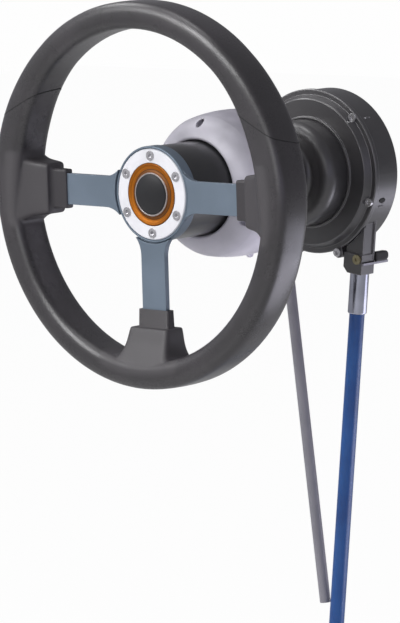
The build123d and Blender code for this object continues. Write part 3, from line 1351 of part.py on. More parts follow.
PIECES = {
    "spider": spider,
    "rim_hoop": rim_hoop,
    "rim_lower_cover": rim_lower_cover,
    "rim_top_cover": rim_top_cover,
    "trim_ring": trim_ring,
    "trim_screws": trim_screws,
    "cap_dish": cap_dish,
    "cap_ring": cap_ring,
    "centre_cap": centre_cap,
    "hub_adapter": hub_adapter,
    "input_shaft": input_shaft,
    "shaft_key": shaft_key,
    "shaft_washer": shaft_washer,
    "shaft_nut": shaft_nut,
    "mounting_plate": mounting_plate,
    "neck_screws": neck_screws,
    "bezel": bezel,
    "bezel_screws": bezel_screws,
    "front_cover": front_cover,
    "neck_bearing": neck_bearing,
    "cover_bearing": cover_bearing,
    "cover_gasket": cover_gasket,
    "rear_housing": rear_housing,
    "rear_bush": rear_bush,
    "housing_screws": housing_screws,
    "planet_pins": planet_pins,
    "pin_clips": pin_clips,
    "cable_drum": cable_drum,
    "drum_bush": drum_bush,
    "cable_core": cable_core,
    "ferrule": ferrule,
    "lock_clip": lock_clip,
    "clip_grip": clip_grip,
    "set_screw": set_screw,
    "spent_tube": spent_tube,
    "spent_collar": spent_collar,
    "cable_run": cable_run,
    "cable_coil": cable_coil,
    "cable_tail": cable_tail,
    "coil_ties": coil_ties,
    "end_hub": end_hub,
    "end_nut": end_nut,
    "guide_tube": guide_tube,
    "ram": ram,
}
for number, planet_gear in enumerate(planet_gears, start=1):
    PIECES[f"planet_gear_{number}"] = planet_gear

for piece_name, piece in PIECES.items():
    piece.part.label = piece_name
    export_step(piece.part, f"parts/{piece_name}.step")

conduit_length = COIL_ENTRY - CONDUIT_START + COIL_TURNS * 2 * pi * COIL_R + TAIL_LEN
print("conduit length", round(conduit_length, 1), "mm")
print("coil turn radius", COIL_R, "mm; straight runs need no arcs")
print("coil centre", COIL_CENTRE, "tail", END_X, TAIL_Y, TAIL_Z)
print("ram tip at", RAM_TIP)
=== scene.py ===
import bmesh
import bpy
from math import cos, pi, radians, sin
from mathutils import Matrix, Vector


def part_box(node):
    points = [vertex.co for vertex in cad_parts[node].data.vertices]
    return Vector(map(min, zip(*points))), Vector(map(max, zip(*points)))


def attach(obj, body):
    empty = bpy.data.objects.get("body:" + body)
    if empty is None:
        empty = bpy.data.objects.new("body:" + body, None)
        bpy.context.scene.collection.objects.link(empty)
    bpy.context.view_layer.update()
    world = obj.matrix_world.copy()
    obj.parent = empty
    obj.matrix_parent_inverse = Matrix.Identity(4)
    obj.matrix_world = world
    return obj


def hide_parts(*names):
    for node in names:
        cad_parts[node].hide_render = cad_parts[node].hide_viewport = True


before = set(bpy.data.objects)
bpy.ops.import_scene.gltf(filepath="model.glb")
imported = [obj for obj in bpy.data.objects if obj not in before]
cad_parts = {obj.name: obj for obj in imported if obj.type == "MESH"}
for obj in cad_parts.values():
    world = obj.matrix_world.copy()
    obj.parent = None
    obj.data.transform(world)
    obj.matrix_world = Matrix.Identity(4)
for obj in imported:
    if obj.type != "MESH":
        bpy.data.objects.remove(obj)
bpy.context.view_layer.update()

MM = 0.001
WHITE = (1, 1, 1)


# The photographed view: the camera stands to the driver's right, a little above the wheel.
# Angles are in radians, and AIM_PIXEL is where AXIS_POINT shows in a photograph of IMAGE's size.

VIEW_TURN = 0.7389224
VIEW_DROP = 0.1371186
VIEW_ROLL = -0.0286187
VIEW_REACH = 3.43568
LENS_PIXELS = 3821.186
AIM_PIXEL = (151.3359, 194.4793)
IMAGE = (400, 623)
AXIS_POINT = Vector((0, -0.130, 0))
SENSOR_MM = 36.0
FAR_CLIP = 50.0


def place_camera():
    ahead = Vector((
        -sin(VIEW_TURN) * cos(VIEW_DROP),
        cos(VIEW_TURN) * cos(VIEW_DROP),
        -sin(VIEW_DROP),
    ))
    level = Vector((cos(VIEW_TURN), sin(VIEW_TURN), 0))
    upright = level.cross(ahead)
    right = level * cos(VIEW_ROLL) + upright * sin(VIEW_ROLL)
    up = upright * cos(VIEW_ROLL) - level * sin(VIEW_ROLL)
    side = VIEW_REACH * (AIM_PIXEL[0] - IMAGE[0] / 2) / LENS_PIXELS
    rise = VIEW_REACH * (AIM_PIXEL[1] - IMAGE[1] / 2) / LENS_PIXELS
    stand = AXIS_POINT - (ahead * VIEW_REACH + right * side - up * rise)
    turn = Matrix((right, up, -ahead)).transposed().to_4x4()
    camera = bpy.data.objects.new("photo_view", bpy.data.cameras.new("photo_view"))
    bpy.context.scene.collection.objects.link(camera)
    camera.matrix_world = Matrix.Translation(stand) @ turn
    camera.data.sensor_width = SENSOR_MM
    camera.data.lens = LENS_PIXELS * SENSOR_MM / max(IMAGE)
    camera.data.clip_end = FAR_CLIP
    bpy.context.scene.camera = camera


place_camera()


# Shader nodes as expressions

BEVEL_SAMPLES = 6
EDGE_BAND = (0.985, 0.90)  # how well the rounded and the true normals agree: open face, sharp edge
MOTTLE_BAND = (0.3, 0.7)
WIDE_MOTTLE_BAND = (0.3, 0.75)
SURFACE_IOR = 1.5


class Signal:
    """A shader socket that takes part in Python arithmetic."""

    def __init__(self, wiring, socket):
        self.wiring = wiring
        self.socket = socket

    def maths(self, operation, *others):
        return self.wiring.node("ShaderNodeMath", {"operation": operation}, [self, *others])

    def __add__(self, other):
        return self.maths("ADD", other)

    def __radd__(self, other):
        return self.maths("ADD", other)

    def __sub__(self, other):
        return self.maths("SUBTRACT", other)

    def __rsub__(self, other):
        return self.wiring.node("ShaderNodeMath", {"operation": "SUBTRACT"}, [other, self])

    def __mul__(self, other):
        return self.maths("MULTIPLY", other)

    def __rmul__(self, other):
        return self.maths("MULTIPLY", other)

    def __abs__(self):
        return self.maths("ABSOLUTE")

    def below(self, level):
        return self.maths("LESS_THAN", level)

    def most(self, other):
        return self.maths("MAXIMUM", other)

    def sine(self):
        return self.maths("SINE")

    def root(self):
        return self.maths("SQRT")

    def ramp(self, low, high):
        """A smooth change from nought at the first level to one at the second."""
        return self.wiring.node(
            "ShaderNodeMapRange",
            {"interpolation_type": "SMOOTHSTEP", "clamp": True},
            {"Value": self, "From Min": low, "From Max": high, "To Min": 0.0, "To Max": 1.0},
        )


class Wiring:
    """Makes and links the nodes of one tree."""

    def __init__(self, tree):
        self.tree = tree

    def node(self, kind, settings=None, values=None, output=0):
        """A new node's output; values go by socket name or number, or in order."""
        made = self.tree.nodes.new(kind)
        for key, value in (settings or {}).items():
            setattr(made, key, value)
        pairs = values.items() if isinstance(values, dict) else enumerate(values or [])
        for key, value in pairs:
            if isinstance(key, str):
                target = next(s for s in made.inputs if s.name == key and s.enabled)
            else:
                target = made.inputs[key]
            self.feed(target, value)
        return Signal(self, made.outputs[output])

    def feed(self, target, value):
        if isinstance(value, Signal):
            self.tree.links.new(value.socket, target)
        elif target.type == "RGBA":
            target.default_value = (*value, 1.0)
        else:
            target.default_value = value

    def dot(self, first, second):
        settings = {"operation": "DOT_PRODUCT"}
        return self.node("ShaderNodeVectorMath", settings, [first, second], "Value")

    def blend(self, factor, first, second):
        """A colour between two others; the node's colour sockets are 6, 7 and output 2."""
        values = {0: factor, 6: first, 7: second}
        return self.node("ShaderNodeMix", {"data_type": "RGBA"}, values, 2)


class Finish(Wiring):
    """One procedural material, built from a Principled shader."""

    def __init__(
        self, name, colour, roughness,
        metallic=0.0, specular=0.5, coat=0.0, coat_roughness=0.1,
    ):
        self.material = bpy.data.materials.new(name)
        self.material.use_nodes = True
        self.material.diffuse_color = (*colour, 1)
        super().__init__(self.material.node_tree)
        self.shader = self.tree.nodes["Principled BSDF"]
        self.set("Base Color", colour)
        self.set("Roughness", roughness)
        self.set("Metallic", metallic)
        self.set("IOR", SURFACE_IOR)
        self.set("Specular IOR Level", specular)
        self.set("Coat Weight", coat)
        self.set("Coat Roughness", coat_roughness)

    def set(self, socket, value):
        self.feed(self.shader.inputs[socket], value)

    def place(self):
        """Object coordinates, which are the part's own frame in metres."""
        return self.node("ShaderNodeTexCoord", output="Object")

    def axes(self):
        """The place's x, y and z."""
        split = self.node("ShaderNodeSeparateXYZ", values=[self.place()])
        return [Signal(self, socket) for socket in split.socket.node.outputs]

    def bevel(self, width):
        return self.node("ShaderNodeBevel", {"samples": BEVEL_SAMPLES}, {"Radius": width})

    def edges(self, width):
        """One along sharp edges and corners, nought on open faces."""
        facing = self.node("ShaderNodeNewGeometry", output="Normal")
        return self.dot(self.bevel(width), facing).ramp(*EDGE_BAND)

    def noise(self, scale, detail):
        values = {"Vector": self.place(), "Scale": scale, "Detail": detail}
        return self.node("ShaderNodeTexNoise", values=values)

    def grains(self, scale):
        return self.node("ShaderNodeTexVoronoi", values={"Vector": self.place(), "Scale": scale})

    def mottle(self, pattern, dark, pale, band=MOTTLE_BAND):
        """Two eight-bit screen colours, mixed by a pattern."""
        return self.blend(pattern.ramp(*band), srgb(*dark), srgb(*pale))

    def bump(self, height, depth, strength, edge=None):
        """Relief from a height; edge is how far the corners look rounded over, in metres."""
        values = {"Height": height, "Distance": depth, "Strength": strength}
        if edge is not None:
            values["Normal"] = self.bevel(edge)
        self.set("Normal", self.node("ShaderNodeBump", values=values))


def srgb(red, green, blue):
    """A colour named by its eight-bit screen values, as scene-linear numbers."""
    def linear(value):
        share = value / 255
        return share / 12.92 if share <= 0.04045 else ((share + 0.055) / 1.055) ** 2.4
    return (linear(red), linear(green), linear(blue))


def shaded(colour, share):
    return tuple(int(value * share) for value in colour)


def off_axis(x, z):
    """Distance from the wheel's axis, in metres."""
    return (x * x + z * z).root()


# Finishes. Pairs are the two places, in metres, between which a mask fades from nought to one.
# Turning marks are counted in radians of pattern per metre.

BOOT_SIDE = (0.038, 0.031)
BOOT_LOW = (0.050, 0.043)
BOOT_LOW_TOP = -0.08
BOOT_RIM = (0.166, 0.156)
RIM_EDGE = 0.0075
BOOT_EDGE_LESS = 0.0060


def moulded_skin():
    """Satin moulding: soft broad corners round the rim, crisper ones on the boots."""
    finish = Finish("rim_soft_moulding", srgb(50, 48, 50), roughness=0.3, specular=0.75)
    grain = finish.grains(scale=1500)
    cloud = finish.noise(scale=16, detail=3)
    handling = finish.noise(scale=55, detail=4)
    x, _, z = finish.axes()
    side_boot = abs(z).ramp(*BOOT_SIDE)
    low_boot = abs(x).ramp(*BOOT_LOW) * z.below(BOOT_LOW_TOP)
    boot = side_boot.most(low_boot) * off_axis(x, z).ramp(*BOOT_RIM)
    body = finish.mottle(cloud, (45, 43, 45), (55, 52, 55), (0.35, 0.7))
    finish.set("Base Color", finish.blend(boot, body, srgb(57, 54, 57)))
    finish.set("Roughness", 0.22 + handling * 0.09 + grain * 0.04 + boot * 0.26)
    height = grain * 0.7 + finish.noise(scale=2600, detail=1) * 0.3
    finish.bump(height, depth=0.00008, strength=0.3, edge=RIM_EDGE - boot * BOOT_EDGE_LESS)
    return finish.material


def cast_spoke():
    finish = Finish("spoke_satin_casting", srgb(110, 124, 140), roughness=0.45, metallic=0.2)
    fleck = finish.noise(scale=900, detail=2)
    cloud = finish.noise(scale=14, detail=3)
    body = finish.mottle(cloud, (98, 111, 124), (109, 122, 136))
    # Paler edges: a painted highlight along the casting's edges.
    painted_edge_highlight = finish.edges(width=0.0008) * 0.4
    finish.set("Base Color", finish.blend(painted_edge_highlight, body, srgb(150, 160, 174)))
    finish.set("Roughness", 0.4 + fleck * 0.12)
    finish.bump(fleck, depth=0.00006, strength=0.35, edge=0.0009)
    return finish.material


TRIM_OUTER = (0.0398, 0.0412)
TRIM_RINGS = 9000


def trim_plate():
    finish = Finish("trim_pale_satin", srgb(246, 245, 247), roughness=0.34, metallic=0.1)
    x, _, z = finish.axes()
    distance = off_axis(x, z)
    rings = (distance * TRIM_RINGS).sine()
    cloud = finish.noise(scale=40, detail=3)
    face = finish.mottle(cloud, (226, 226, 230), (236, 236, 240), WIDE_MOTTLE_BAND)
    finish.set("Base Color", finish.blend(distance.ramp(*TRIM_OUTER), face, srgb(206, 208, 214)))
    finish.set("Roughness", 0.32 + rings * 0.03 + cloud * 0.06)
    finish.bump(rings * 0.5 + cloud, depth=0.00002, strength=0.5, edge=0.0005)
    return finish.material


DISH_SHADED_STEP = (0.0229, 0.0223)
DISH_LINE_IN = (0.0222, 0.0226)
DISH_LINE_OUT = (0.0232, 0.0228)
DISH_RIM = (0.0276, 0.0286)
DISH_RINGS = 11000
DISH_BROAD_RINGS = 3100


def dish_bronze():
    """Turned bronze in two steps, the inner one darkened by painted shade, with a dark line
    between them and round the outside.
    """
    finish = Finish(
        "dish_turned_bronze", srgb(190, 112, 20), roughness=0.5,
        metallic=0.45, specular=0.2,
    )
    x, _, z = finish.axes()
    distance = off_axis(x, z)
    rings = (distance * DISH_RINGS).sine()
    broad = (distance * DISH_BROAD_RINGS).sine()
    cloud = finish.noise(scale=60, detail=3)
    tone = broad * 0.25 + cloud * 0.6
    body = finish.blend(tone, srgb(150, 86, 18), srgb(188, 113, 26))
    # The inner step's darker brown is painted shade in the recess round the cap.
    body = finish.blend(distance.ramp(*DISH_SHADED_STEP), body, srgb(112, 70, 34))
    line = distance.ramp(*DISH_LINE_IN) * distance.ramp(*DISH_LINE_OUT)
    line = line.most(distance.ramp(*DISH_RIM))
    finish.set("Base Color", finish.blend(line, body, srgb(62, 40, 24)))
    finish.set("Roughness", 0.46 + rings * 0.05)
    finish.bump(rings * 0.6 + broad * 0.4, depth=0.00003, strength=0.5)
    return finish.material


CAP_EDGE = (0.0165, 0.0183)


def cap_satin():
    finish = Finish("cap_dark_satin", srgb(30, 30, 32), roughness=0.35, specular=0.25)
    x, _, z = finish.axes()
    edge = off_axis(x, z).ramp(*CAP_EDGE)
    dust = finish.noise(scale=300, detail=3)
    finish.set("Base Color", finish.blend(edge, srgb(40, 40, 42), srgb(26, 26, 28)))
    finish.set("Roughness", 0.32 + dust * 0.08)
    finish.bump(dust, depth=0.00001, strength=0.3)
    return finish.material


def satin_black():
    finish = Finish(
        "adapter_satin_black", srgb(36, 36, 38), roughness=0.3,
        coat=0.3, coat_roughness=0.15,
    )
    fleck = finish.noise(scale=700, detail=2)
    cloud = finish.noise(scale=20, detail=3)
    body = finish.mottle(cloud, (36, 36, 38), (43, 43, 45), WIDE_MOTTLE_BAND)
    finish.set("Base Color", body)
    finish.set("Roughness", 0.27 + fleck * 0.08)
    finish.bump(fleck, depth=0.00003, strength=0.2, edge=0.0006)
    return finish.material


def cast_black():
    """Black paint over a casting, with a painted highlight in pale grey along the edges."""
    finish = Finish(
        "helm_black_casting", srgb(42, 41, 43), roughness=0.3,
        specular=0.9, coat=0.25, coat_roughness=0.22,
    )
    fleck = finish.noise(scale=520, detail=3)
    pit = finish.grains(scale=900)
    cloud = finish.noise(scale=16, detail=3)
    body = finish.mottle(cloud, (44, 43, 45), (57, 55, 57), WIDE_MOTTLE_BAND)
    # Pale grey along the edges is a painted highlight.
    painted_edge_highlight = finish.edges(width=0.0009) * 0.75
    finish.set("Base Color", finish.blend(painted_edge_highlight, body, srgb(142, 139, 143)))
    finish.set("Roughness", 0.31 + fleck * 0.1)
    finish.bump(fleck * 0.6 + pit * 0.4, depth=0.00008, strength=0.3, edge=0.0008)
    return finish.material


# Painted light: the bezel is made paler near the dash and low down, where the lamps leave it in
# shade.
BEZEL_SKIRT_PAINTED_LIGHT = (-0.062, -0.034)
BEZEL_LOW_PAINTED_LIGHT = (0.045, -0.005)


def bezel_shell():
    """Lavender grey paint over a casting, mottled, with painted light that makes it paler low down
    and near the dash.
    """
    finish = Finish(
        "bezel_silver_grey", srgb(190, 188, 198), roughness=0.45,
        metallic=0.1, coat=0.1, coat_roughness=0.35,
    )
    _, y, z = finish.axes()
    cloud = finish.noise(scale=24, detail=3)
    # The random cloud is real tone; the z ramp is painted light that makes the shaded lower part
    # paler.
    tone = cloud.ramp(0.35, 0.65) * 0.3 + z.ramp(*BEZEL_LOW_PAINTED_LIGHT) * 0.7
    # Both colours go paler low down as painted light, and the skirt's colours are paler still,
    # also painted light.
    front = finish.blend(tone, srgb(152, 150, 158), srgb(212, 209, 220))
    skirt_painted_light = finish.blend(tone, srgb(156, 153, 164), srgb(240, 236, 248))
    finish.set("Base Color", finish.blend(y.ramp(*BEZEL_SKIRT_PAINTED_LIGHT), front, skirt_painted_light))
    fleck = finish.noise(scale=700, detail=2)
    finish.set("Roughness", 0.42 + fleck * 0.06)
    finish.bump(cloud * 0.7 + fleck * 0.05, depth=0.0012, strength=0.25, edge=0.0012)
    return finish.material


SMALL_EDGE = 0.0004


def plain_metal(name, colour, rough, metallic, scale, relief=0.2):
    finish = Finish(name, srgb(*colour), roughness=rough, metallic=metallic)
    fleck = finish.noise(scale=scale, detail=3)
    finish.set("Base Color", finish.mottle(fleck, shaded(colour, 0.92), colour))
    finish.set("Roughness", rough - 0.03 + fleck * 0.06)
    finish.bump(fleck, depth=0.00002, strength=relief, edge=SMALL_EDGE)
    return finish.material


def plain_plastic(name, colour, rough, shade=0.9, edge=SMALL_EDGE):
    finish = Finish(name, srgb(*colour), roughness=rough)
    fleck = finish.noise(scale=500, detail=3)
    cloud = finish.noise(scale=24, detail=3)
    finish.set("Base Color", finish.mottle(cloud, shaded(colour, shade), colour))
    finish.set("Roughness", rough - 0.05 + fleck * 0.12)
    finish.bump(fleck, depth=0.00005, strength=0.3, edge=edge)
    return finish.material


def cable_jacket():
    finish = Finish(
        "cable_blue_jacket", srgb(24, 72, 138), roughness=0.34,
        coat=0.15, coat_roughness=0.25,
    )
    cloud = finish.noise(scale=26, detail=3)
    fine = finish.noise(scale=700, detail=2)
    finish.set("Base Color", finish.mottle(cloud, (6, 60, 124), (16, 76, 142)))
    finish.set("Roughness", 0.32 + fine * 0.08)
    finish.bump(fine * 0.5 + cloud * 0.5, depth=0.00006, strength=0.4)
    return finish.material


# Metals give name, colour, roughness, metallic share and grain size; plastics the first three
FINISH = {
    "rim": moulded_skin(),
    "spoke": cast_spoke(),
    "trim": trim_plate(),
    "bronze": dish_bronze(),
    "cap": cap_satin(),
    "adapter": satin_black(),
    "casting": cast_black(),
    "bezel": bezel_shell(),
    "bright_screw": plain_metal("screw_bright_zinc", (206, 205, 208), 0.22, 0.85, 600),
    "steel": plain_metal("shaft_ground_steel", (150, 150, 154), 0.34, 0.9, 500),
    "gear": plain_metal("gear_machined_steel", (140, 140, 144), 0.36, 0.9, 500),
    "plate": plain_metal("plate_zinc", (170, 168, 160), 0.38, 0.85, 260),
    "wire": plain_metal("core_wire_steel", (118, 118, 120), 0.42, 0.85, 900),
    "chrome": plain_metal("ferrule_chrome", (176, 178, 192), 0.14, 0.98, 60, relief=0.02),
    "clip": plain_metal("clip_bright_zinc", (140, 139, 146), 0.36, 0.8, 500),
    "buff": plain_metal("set_screw_yellow_zinc", (150, 142, 112), 0.36, 0.7, 500),
    "stainless": plain_metal("end_stainless", (196, 196, 200), 0.24, 0.92, 500),
    "tube": plain_plastic("spent_tube_grey", (134, 132, 140), 0.4, shade=0.94),
    "pewter": plain_metal("cap_ring_pewter", (176, 168, 166), 0.3, 0.6, 500),
    "grip": plain_plastic("clip_grip_black", (40, 39, 41), 0.4),
    "seam": plain_plastic("seam_recess", (18, 18, 19), 0.7, edge=None),
    "bearing": plain_plastic("bearing_acetal", (222, 219, 204), 0.42),
    "gasket": plain_plastic("gasket_rubber", (26, 26, 26), 0.7),
    "drum": plain_plastic("drum_filled_nylon", (44, 44, 46), 0.5),
    "tie": plain_plastic("tie_black_nylon", (24, 24, 24), 0.45),
    "cable": cable_jacket(),
}

NODE_FINISH = {
    "spider": "spoke", "rim_hoop": "steel", "rim_lower_cover": "rim", "rim_top_cover": "rim",
    "trim_ring": "trim", "trim_screws": "bright_screw", "cap_dish": "bronze",
    "centre_cap": "cap", "cap_ring": "pewter", "hub_adapter": "adapter",
    "input_shaft": "steel", "shaft_key": "steel", "shaft_washer": "bright_screw",
    "shaft_nut": "bright_screw", "mounting_plate": "plate", "neck_screws": "bright_screw",
    "bezel": "bezel", "bezel_screws": "bright_screw", "front_cover": "casting",
    "neck_bearing": "bearing", "cover_bearing": "bearing", "cover_gasket": "gasket",
    "rear_housing": "casting", "rear_bush": "bearing", "housing_screws": "bright_screw",
    "planet_pins": "steel", "pin_clips": "gear", "cable_drum": "drum", "drum_bush": "bearing",
    "planet_gear_1": "gear", "planet_gear_2": "gear", "planet_gear_3": "gear",
    "cable_core": "wire", "ferrule": "chrome", "lock_clip": "clip", "clip_grip": "grip",
    "set_screw": "buff", "spent_tube": "tube", "spent_collar": "casting",
    "cable_run": "cable", "cable_coil": "cable", "cable_tail": "cable", "coil_ties": "tie",
    "end_hub": "stainless", "end_nut": "stainless", "guide_tube": "stainless", "ram": "stainless",
}

for node_name, finish_name in NODE_FINISH.items():
    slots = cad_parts[node_name].data.materials
    slots.clear()
    slots.append(FINISH[finish_name])


# Visible pieces that replace CAD nodes or are added to them

def add_piece(name, form, finish, body):
    mesh = bpy.data.meshes.new(name)
    form.to_mesh(mesh)
    form.free()
    mesh.materials.append(FINISH[finish])
    piece = bpy.data.objects.new(name, mesh)
    bpy.context.scene.collection.objects.link(piece)
    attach(piece, body)
    return piece


def block(low, high):
    """A box between two corners, ready for its edges to be rounded."""
    form = bmesh.new()
    bmesh.ops.create_cube(form, size=1.0)
    bmesh.ops.scale(form, vec=Vector(high) - Vector(low), verts=form.verts)
    bmesh.ops.translate(form, vec=(Vector(high) + Vector(low)) / 2, verts=form.verts)
    return form


def round_edges(form, edges, offset, segments):
    bmesh.ops.bevel(
        form, geom=edges, offset=offset, segments=segments,
        profile=0.5, affect="EDGES", material=-1, clamp_overlap=True,
    )


# Small fittings on the helm. A place on the housing's wall is an angle from level and a y.

HANDLE_END_SHARE = 0.47
HANDLE_EDGE = 0.0012
HANDLE_SHARP = 0.6
HOUSING_WALL = 0.0764
GROMMET_R = 0.0044
GROMMET_NARROWING = 0.56
GROMMET_PROUD = 0.0006
GROMMET_EDGE = 0.0002
GROMMET_SHARP = 1.0
GROMMET_PLACE = (-19.3, 0.1078)
DOWEL_R = 0.0006
DOWEL_LENGTH = 0.0076
DOWEL_PLACE = (42.4, 0.1075)


def clip_handle():
    """The clip's dark moulded handle, with a full round end."""
    low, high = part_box("clip_grip")
    form = block(low, high)
    ends = [
        e for e in form.edges
        if all(v.co.y > high[1] - 0.1 * MM for v in e.verts)
        and abs(e.verts[0].co.x - e.verts[1].co.x) > MM
    ]
    round_edges(form, ends, (high[2] - low[2]) * HANDLE_END_SHARE, segments=10)
    rest = [e for e in form.edges if e.calc_face_angle(0.0) > HANDLE_SHARP]
    round_edges(form, rest, HANDLE_EDGE, segments=4)
    handle = add_piece("clip_handle", form, "grip", "lock")
    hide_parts("clip_grip")


def wall_place(angle, y):
    turn = radians(angle)
    place = Matrix.Translation((HOUSING_WALL * cos(turn), y, HOUSING_WALL * sin(turn)))
    return place @ Matrix.Rotation(pi / 2 - turn, 4, "Y")


def drain_grommet():
    """An oval rubber grommet round the drain in the housing's wall."""
    form = bmesh.new()
    bmesh.ops.create_circle(form, cap_ends=True, segments=32, radius=GROMMET_R)
    bmesh.ops.scale(form, vec=(GROMMET_NARROWING, 1.0, 1.0), verts=form.verts)
    top = bmesh.ops.extrude_face_region(form, geom=form.faces[:])["geom"]
    raised = [v for v in top if isinstance(v, bmesh.types.BMVert)]
    bmesh.ops.translate(form, vec=(0, 0, GROMMET_PROUD), verts=raised)
    bmesh.ops.recalc_face_normals(form, faces=form.faces)
    outer = [
        e for e in form.edges
        if e.calc_face_angle(0.0) > GROMMET_SHARP and e.verts[0].co.z > GROMMET_PROUD / 2
    ]
    round_edges(form, outer, GROMMET_EDGE, segments=3)
    form.transform(wall_place(*GROMMET_PLACE))
    bmesh.ops.recalc_face_normals(form, faces=form.faces)
    add_piece("drain_grommet", form, "gasket", "helm")


def index_dowel():
    """A short bright dowel set along the housing's wall beside the upper screw."""
    form = bmesh.new()
    bmesh.ops.create_cone(
        form, cap_ends=True, segments=16,
        radius1=DOWEL_R, radius2=DOWEL_R, depth=DOWEL_LENGTH,
    )
    form.transform(Matrix.Rotation(pi / 2, 4, "X"))
    form.transform(wall_place(*DOWEL_PLACE))
    bmesh.ops.recalc_face_normals(form, faces=form.faces)
    add_piece("index_dowel", form, "bright_screw", "helm")


# The rim: both covers' skins as one moulding, with the joint inside them closed up.
# The covers' joint and the two seams that show each run through three points, given as
# angle from level, radius and y. RIM_MIDDLE is the radius and y of the section's middle.

COVER_JOINT = ((39.0, 0.1496, -0.1346), (24.0, 0.1750, -0.1346), (32.0, 0.1623, -0.1556))
RIGHT_SEAM = ((31.9, 0.1496, -0.1538), (20.1, 0.1750, -0.1546), (17.8, 0.1750, -0.1222))
LEFT_SEAM = ((35.3, 0.1496, -0.1535), (23.1, 0.1750, -0.1411), (37.2, 0.1496, -0.1195))
RIM_MIDDLE = Vector((0.1623, -0.1346))
RIM_SHARP = radians(30)
JOINT_REACH = 0.08 * MM
JOINT_FACING = 0.98
COVER_MERGE = 0.02 * MM
JOINT_MERGE = 0.03 * MM
SEAM_MERGE = 0.01 * MM
SEAM_HALF = 0.00036
SEAM_PROUD = 0.00012
SEAM_THICK = 0.0003
SEAM_NEAR = 0.03
SEAM_MIN_X = 0.08
SEAM_MIN_Z = 0.03
SEAM_CUT_FACING = 0.9
CHANNEL_R = 0.0085


def seam_place(angle, radius, y, hand):
    turn = radians(angle)
    return Vector((hand * radius * cos(turn), y, radius * sin(turn)))


def seam_plane(places, hand):
    """The seam's outer point and the plane's normal, on the right (1) or the left (-1)."""
    inner, outer, third = (seam_place(*place, hand) for place in places)
    return outer, (outer - inner).cross(third - inner).normalized()


def off_ring(point):
    """Distance from the circle through the middle of the rim's section."""
    return (Vector((point.xz.length, point.y)) - RIM_MIDDLE).length


def cover_skins():
    """Both covers' meshes in one, without the faces where they meet."""
    form = bmesh.new()
    for cover in ("rim_lower_cover", "rim_top_cover"):
        form.from_mesh(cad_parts[cover].data)
    bmesh.ops.remove_doubles(form, verts=form.verts, dist=COVER_MERGE)
    form.normal_update()
    meeting = []
    for hand in (1, -1):
        place, across = seam_plane(COVER_JOINT, hand)
        for face in form.faces:
            middle = face.calc_center_median()
            this_side = middle.z > 0 and middle.x * hand > 0
            near = abs((middle - place).dot(across)) < JOINT_REACH
            if this_side and near and abs(face.normal.dot(across)) > JOINT_FACING:
                meeting.append(face)
    bmesh.ops.delete(form, geom=meeting, context="FACES")
    bmesh.ops.remove_doubles(form, verts=form.verts, dist=JOINT_MERGE)
    return form


def rim_moulding():
    form = cover_skins()
    for face in form.faces:
        face.smooth = True
    rim = add_piece("rim_moulding", form, "rim", "wheel")
    rim.data.set_sharp_from_angle(angle=RIM_SHARP)
    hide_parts("rim_lower_cover", "rim_top_cover")


def rim_seam(name, hand, places):
    """A strip of the rim's skin where the grip moulding ends, lifted a little off it."""
    outer, across = seam_plane(places, hand)
    form = cover_skins()
    far = [
        v for v in form.verts
        if v.co.x * hand < SEAM_MIN_X or v.co.z < SEAM_MIN_Z
        or abs((v.co - outer).dot(across)) > SEAM_NEAR
    ]
    bmesh.ops.delete(form, geom=far, context="VERTS")
    bmesh.ops.remove_doubles(form, verts=form.verts, dist=SEAM_MERGE)
    for sign in (1, -1):
        bmesh.ops.bisect_plane(
            form, geom=form.verts[:] + form.edges[:] + form.faces[:],
            plane_co=outer + across * SEAM_HALF * sign, plane_no=across * sign,
            clear_outer=True,
        )
    buried = [
        face for face in form.faces
        if abs(face.normal.dot(across)) > SEAM_CUT_FACING
        or off_ring(face.calc_center_median()) < CHANNEL_R
    ]
    bmesh.ops.delete(form, geom=buried, context="FACES")
    bmesh.ops.remove_doubles(form, verts=form.verts, dist=SEAM_MERGE)
    form.normal_update()
    for vert in form.verts:
        vert.co += vert.normal * SEAM_PROUD
    bmesh.ops.solidify(form, geom=form.faces[:], thickness=SEAM_THICK)
    bmesh.ops.recalc_face_normals(form, faces=form.faces)
    add_piece(name, form, "seam", "wheel")


clip_handle()
drain_grommet()
index_dowel()
rim_moulding()
rim_seam("grip_seam_right", 1, RIGHT_SEAM)
rim_seam("grip_seam_left", -1, LEFT_SEAM)


# The cable: one spline from the ferrule down, round its tied turns and out to the engine end.
# Its sizes are the CAD source's, in millimetres.

LEAN_DEGREES = 6.5
LEAN = radians(LEAN_DEGREES)
CABLE_Y = 106.0
CABLE_R = 7.25
WRAP_R = 55.0
CONDUIT_START = 128.1
STRAIGHT_STATIONS = (CONDUIT_START, 220, 330, 440, 520)
COIL_ENTRY = 566.0
COIL_R = 86.0
COIL_PITCH = 14.7
COIL_TURNS = 2 + (270.0 - LEAN_DEGREES) / 360.0
TURN_POINTS = 24
TAIL_STATIONS = (20, 54, 88)
CURVE_STEPS = 6
CURVE_RING = 8


def along_cable(distance):
    """A point on the cable's straight line, that far below the drum's tangent point."""
    return Vector((
        WRAP_R * cos(LEAN) - distance * sin(LEAN),
        CABLE_Y,
        -WRAP_R * sin(LEAN) - distance * cos(LEAN),
    ))


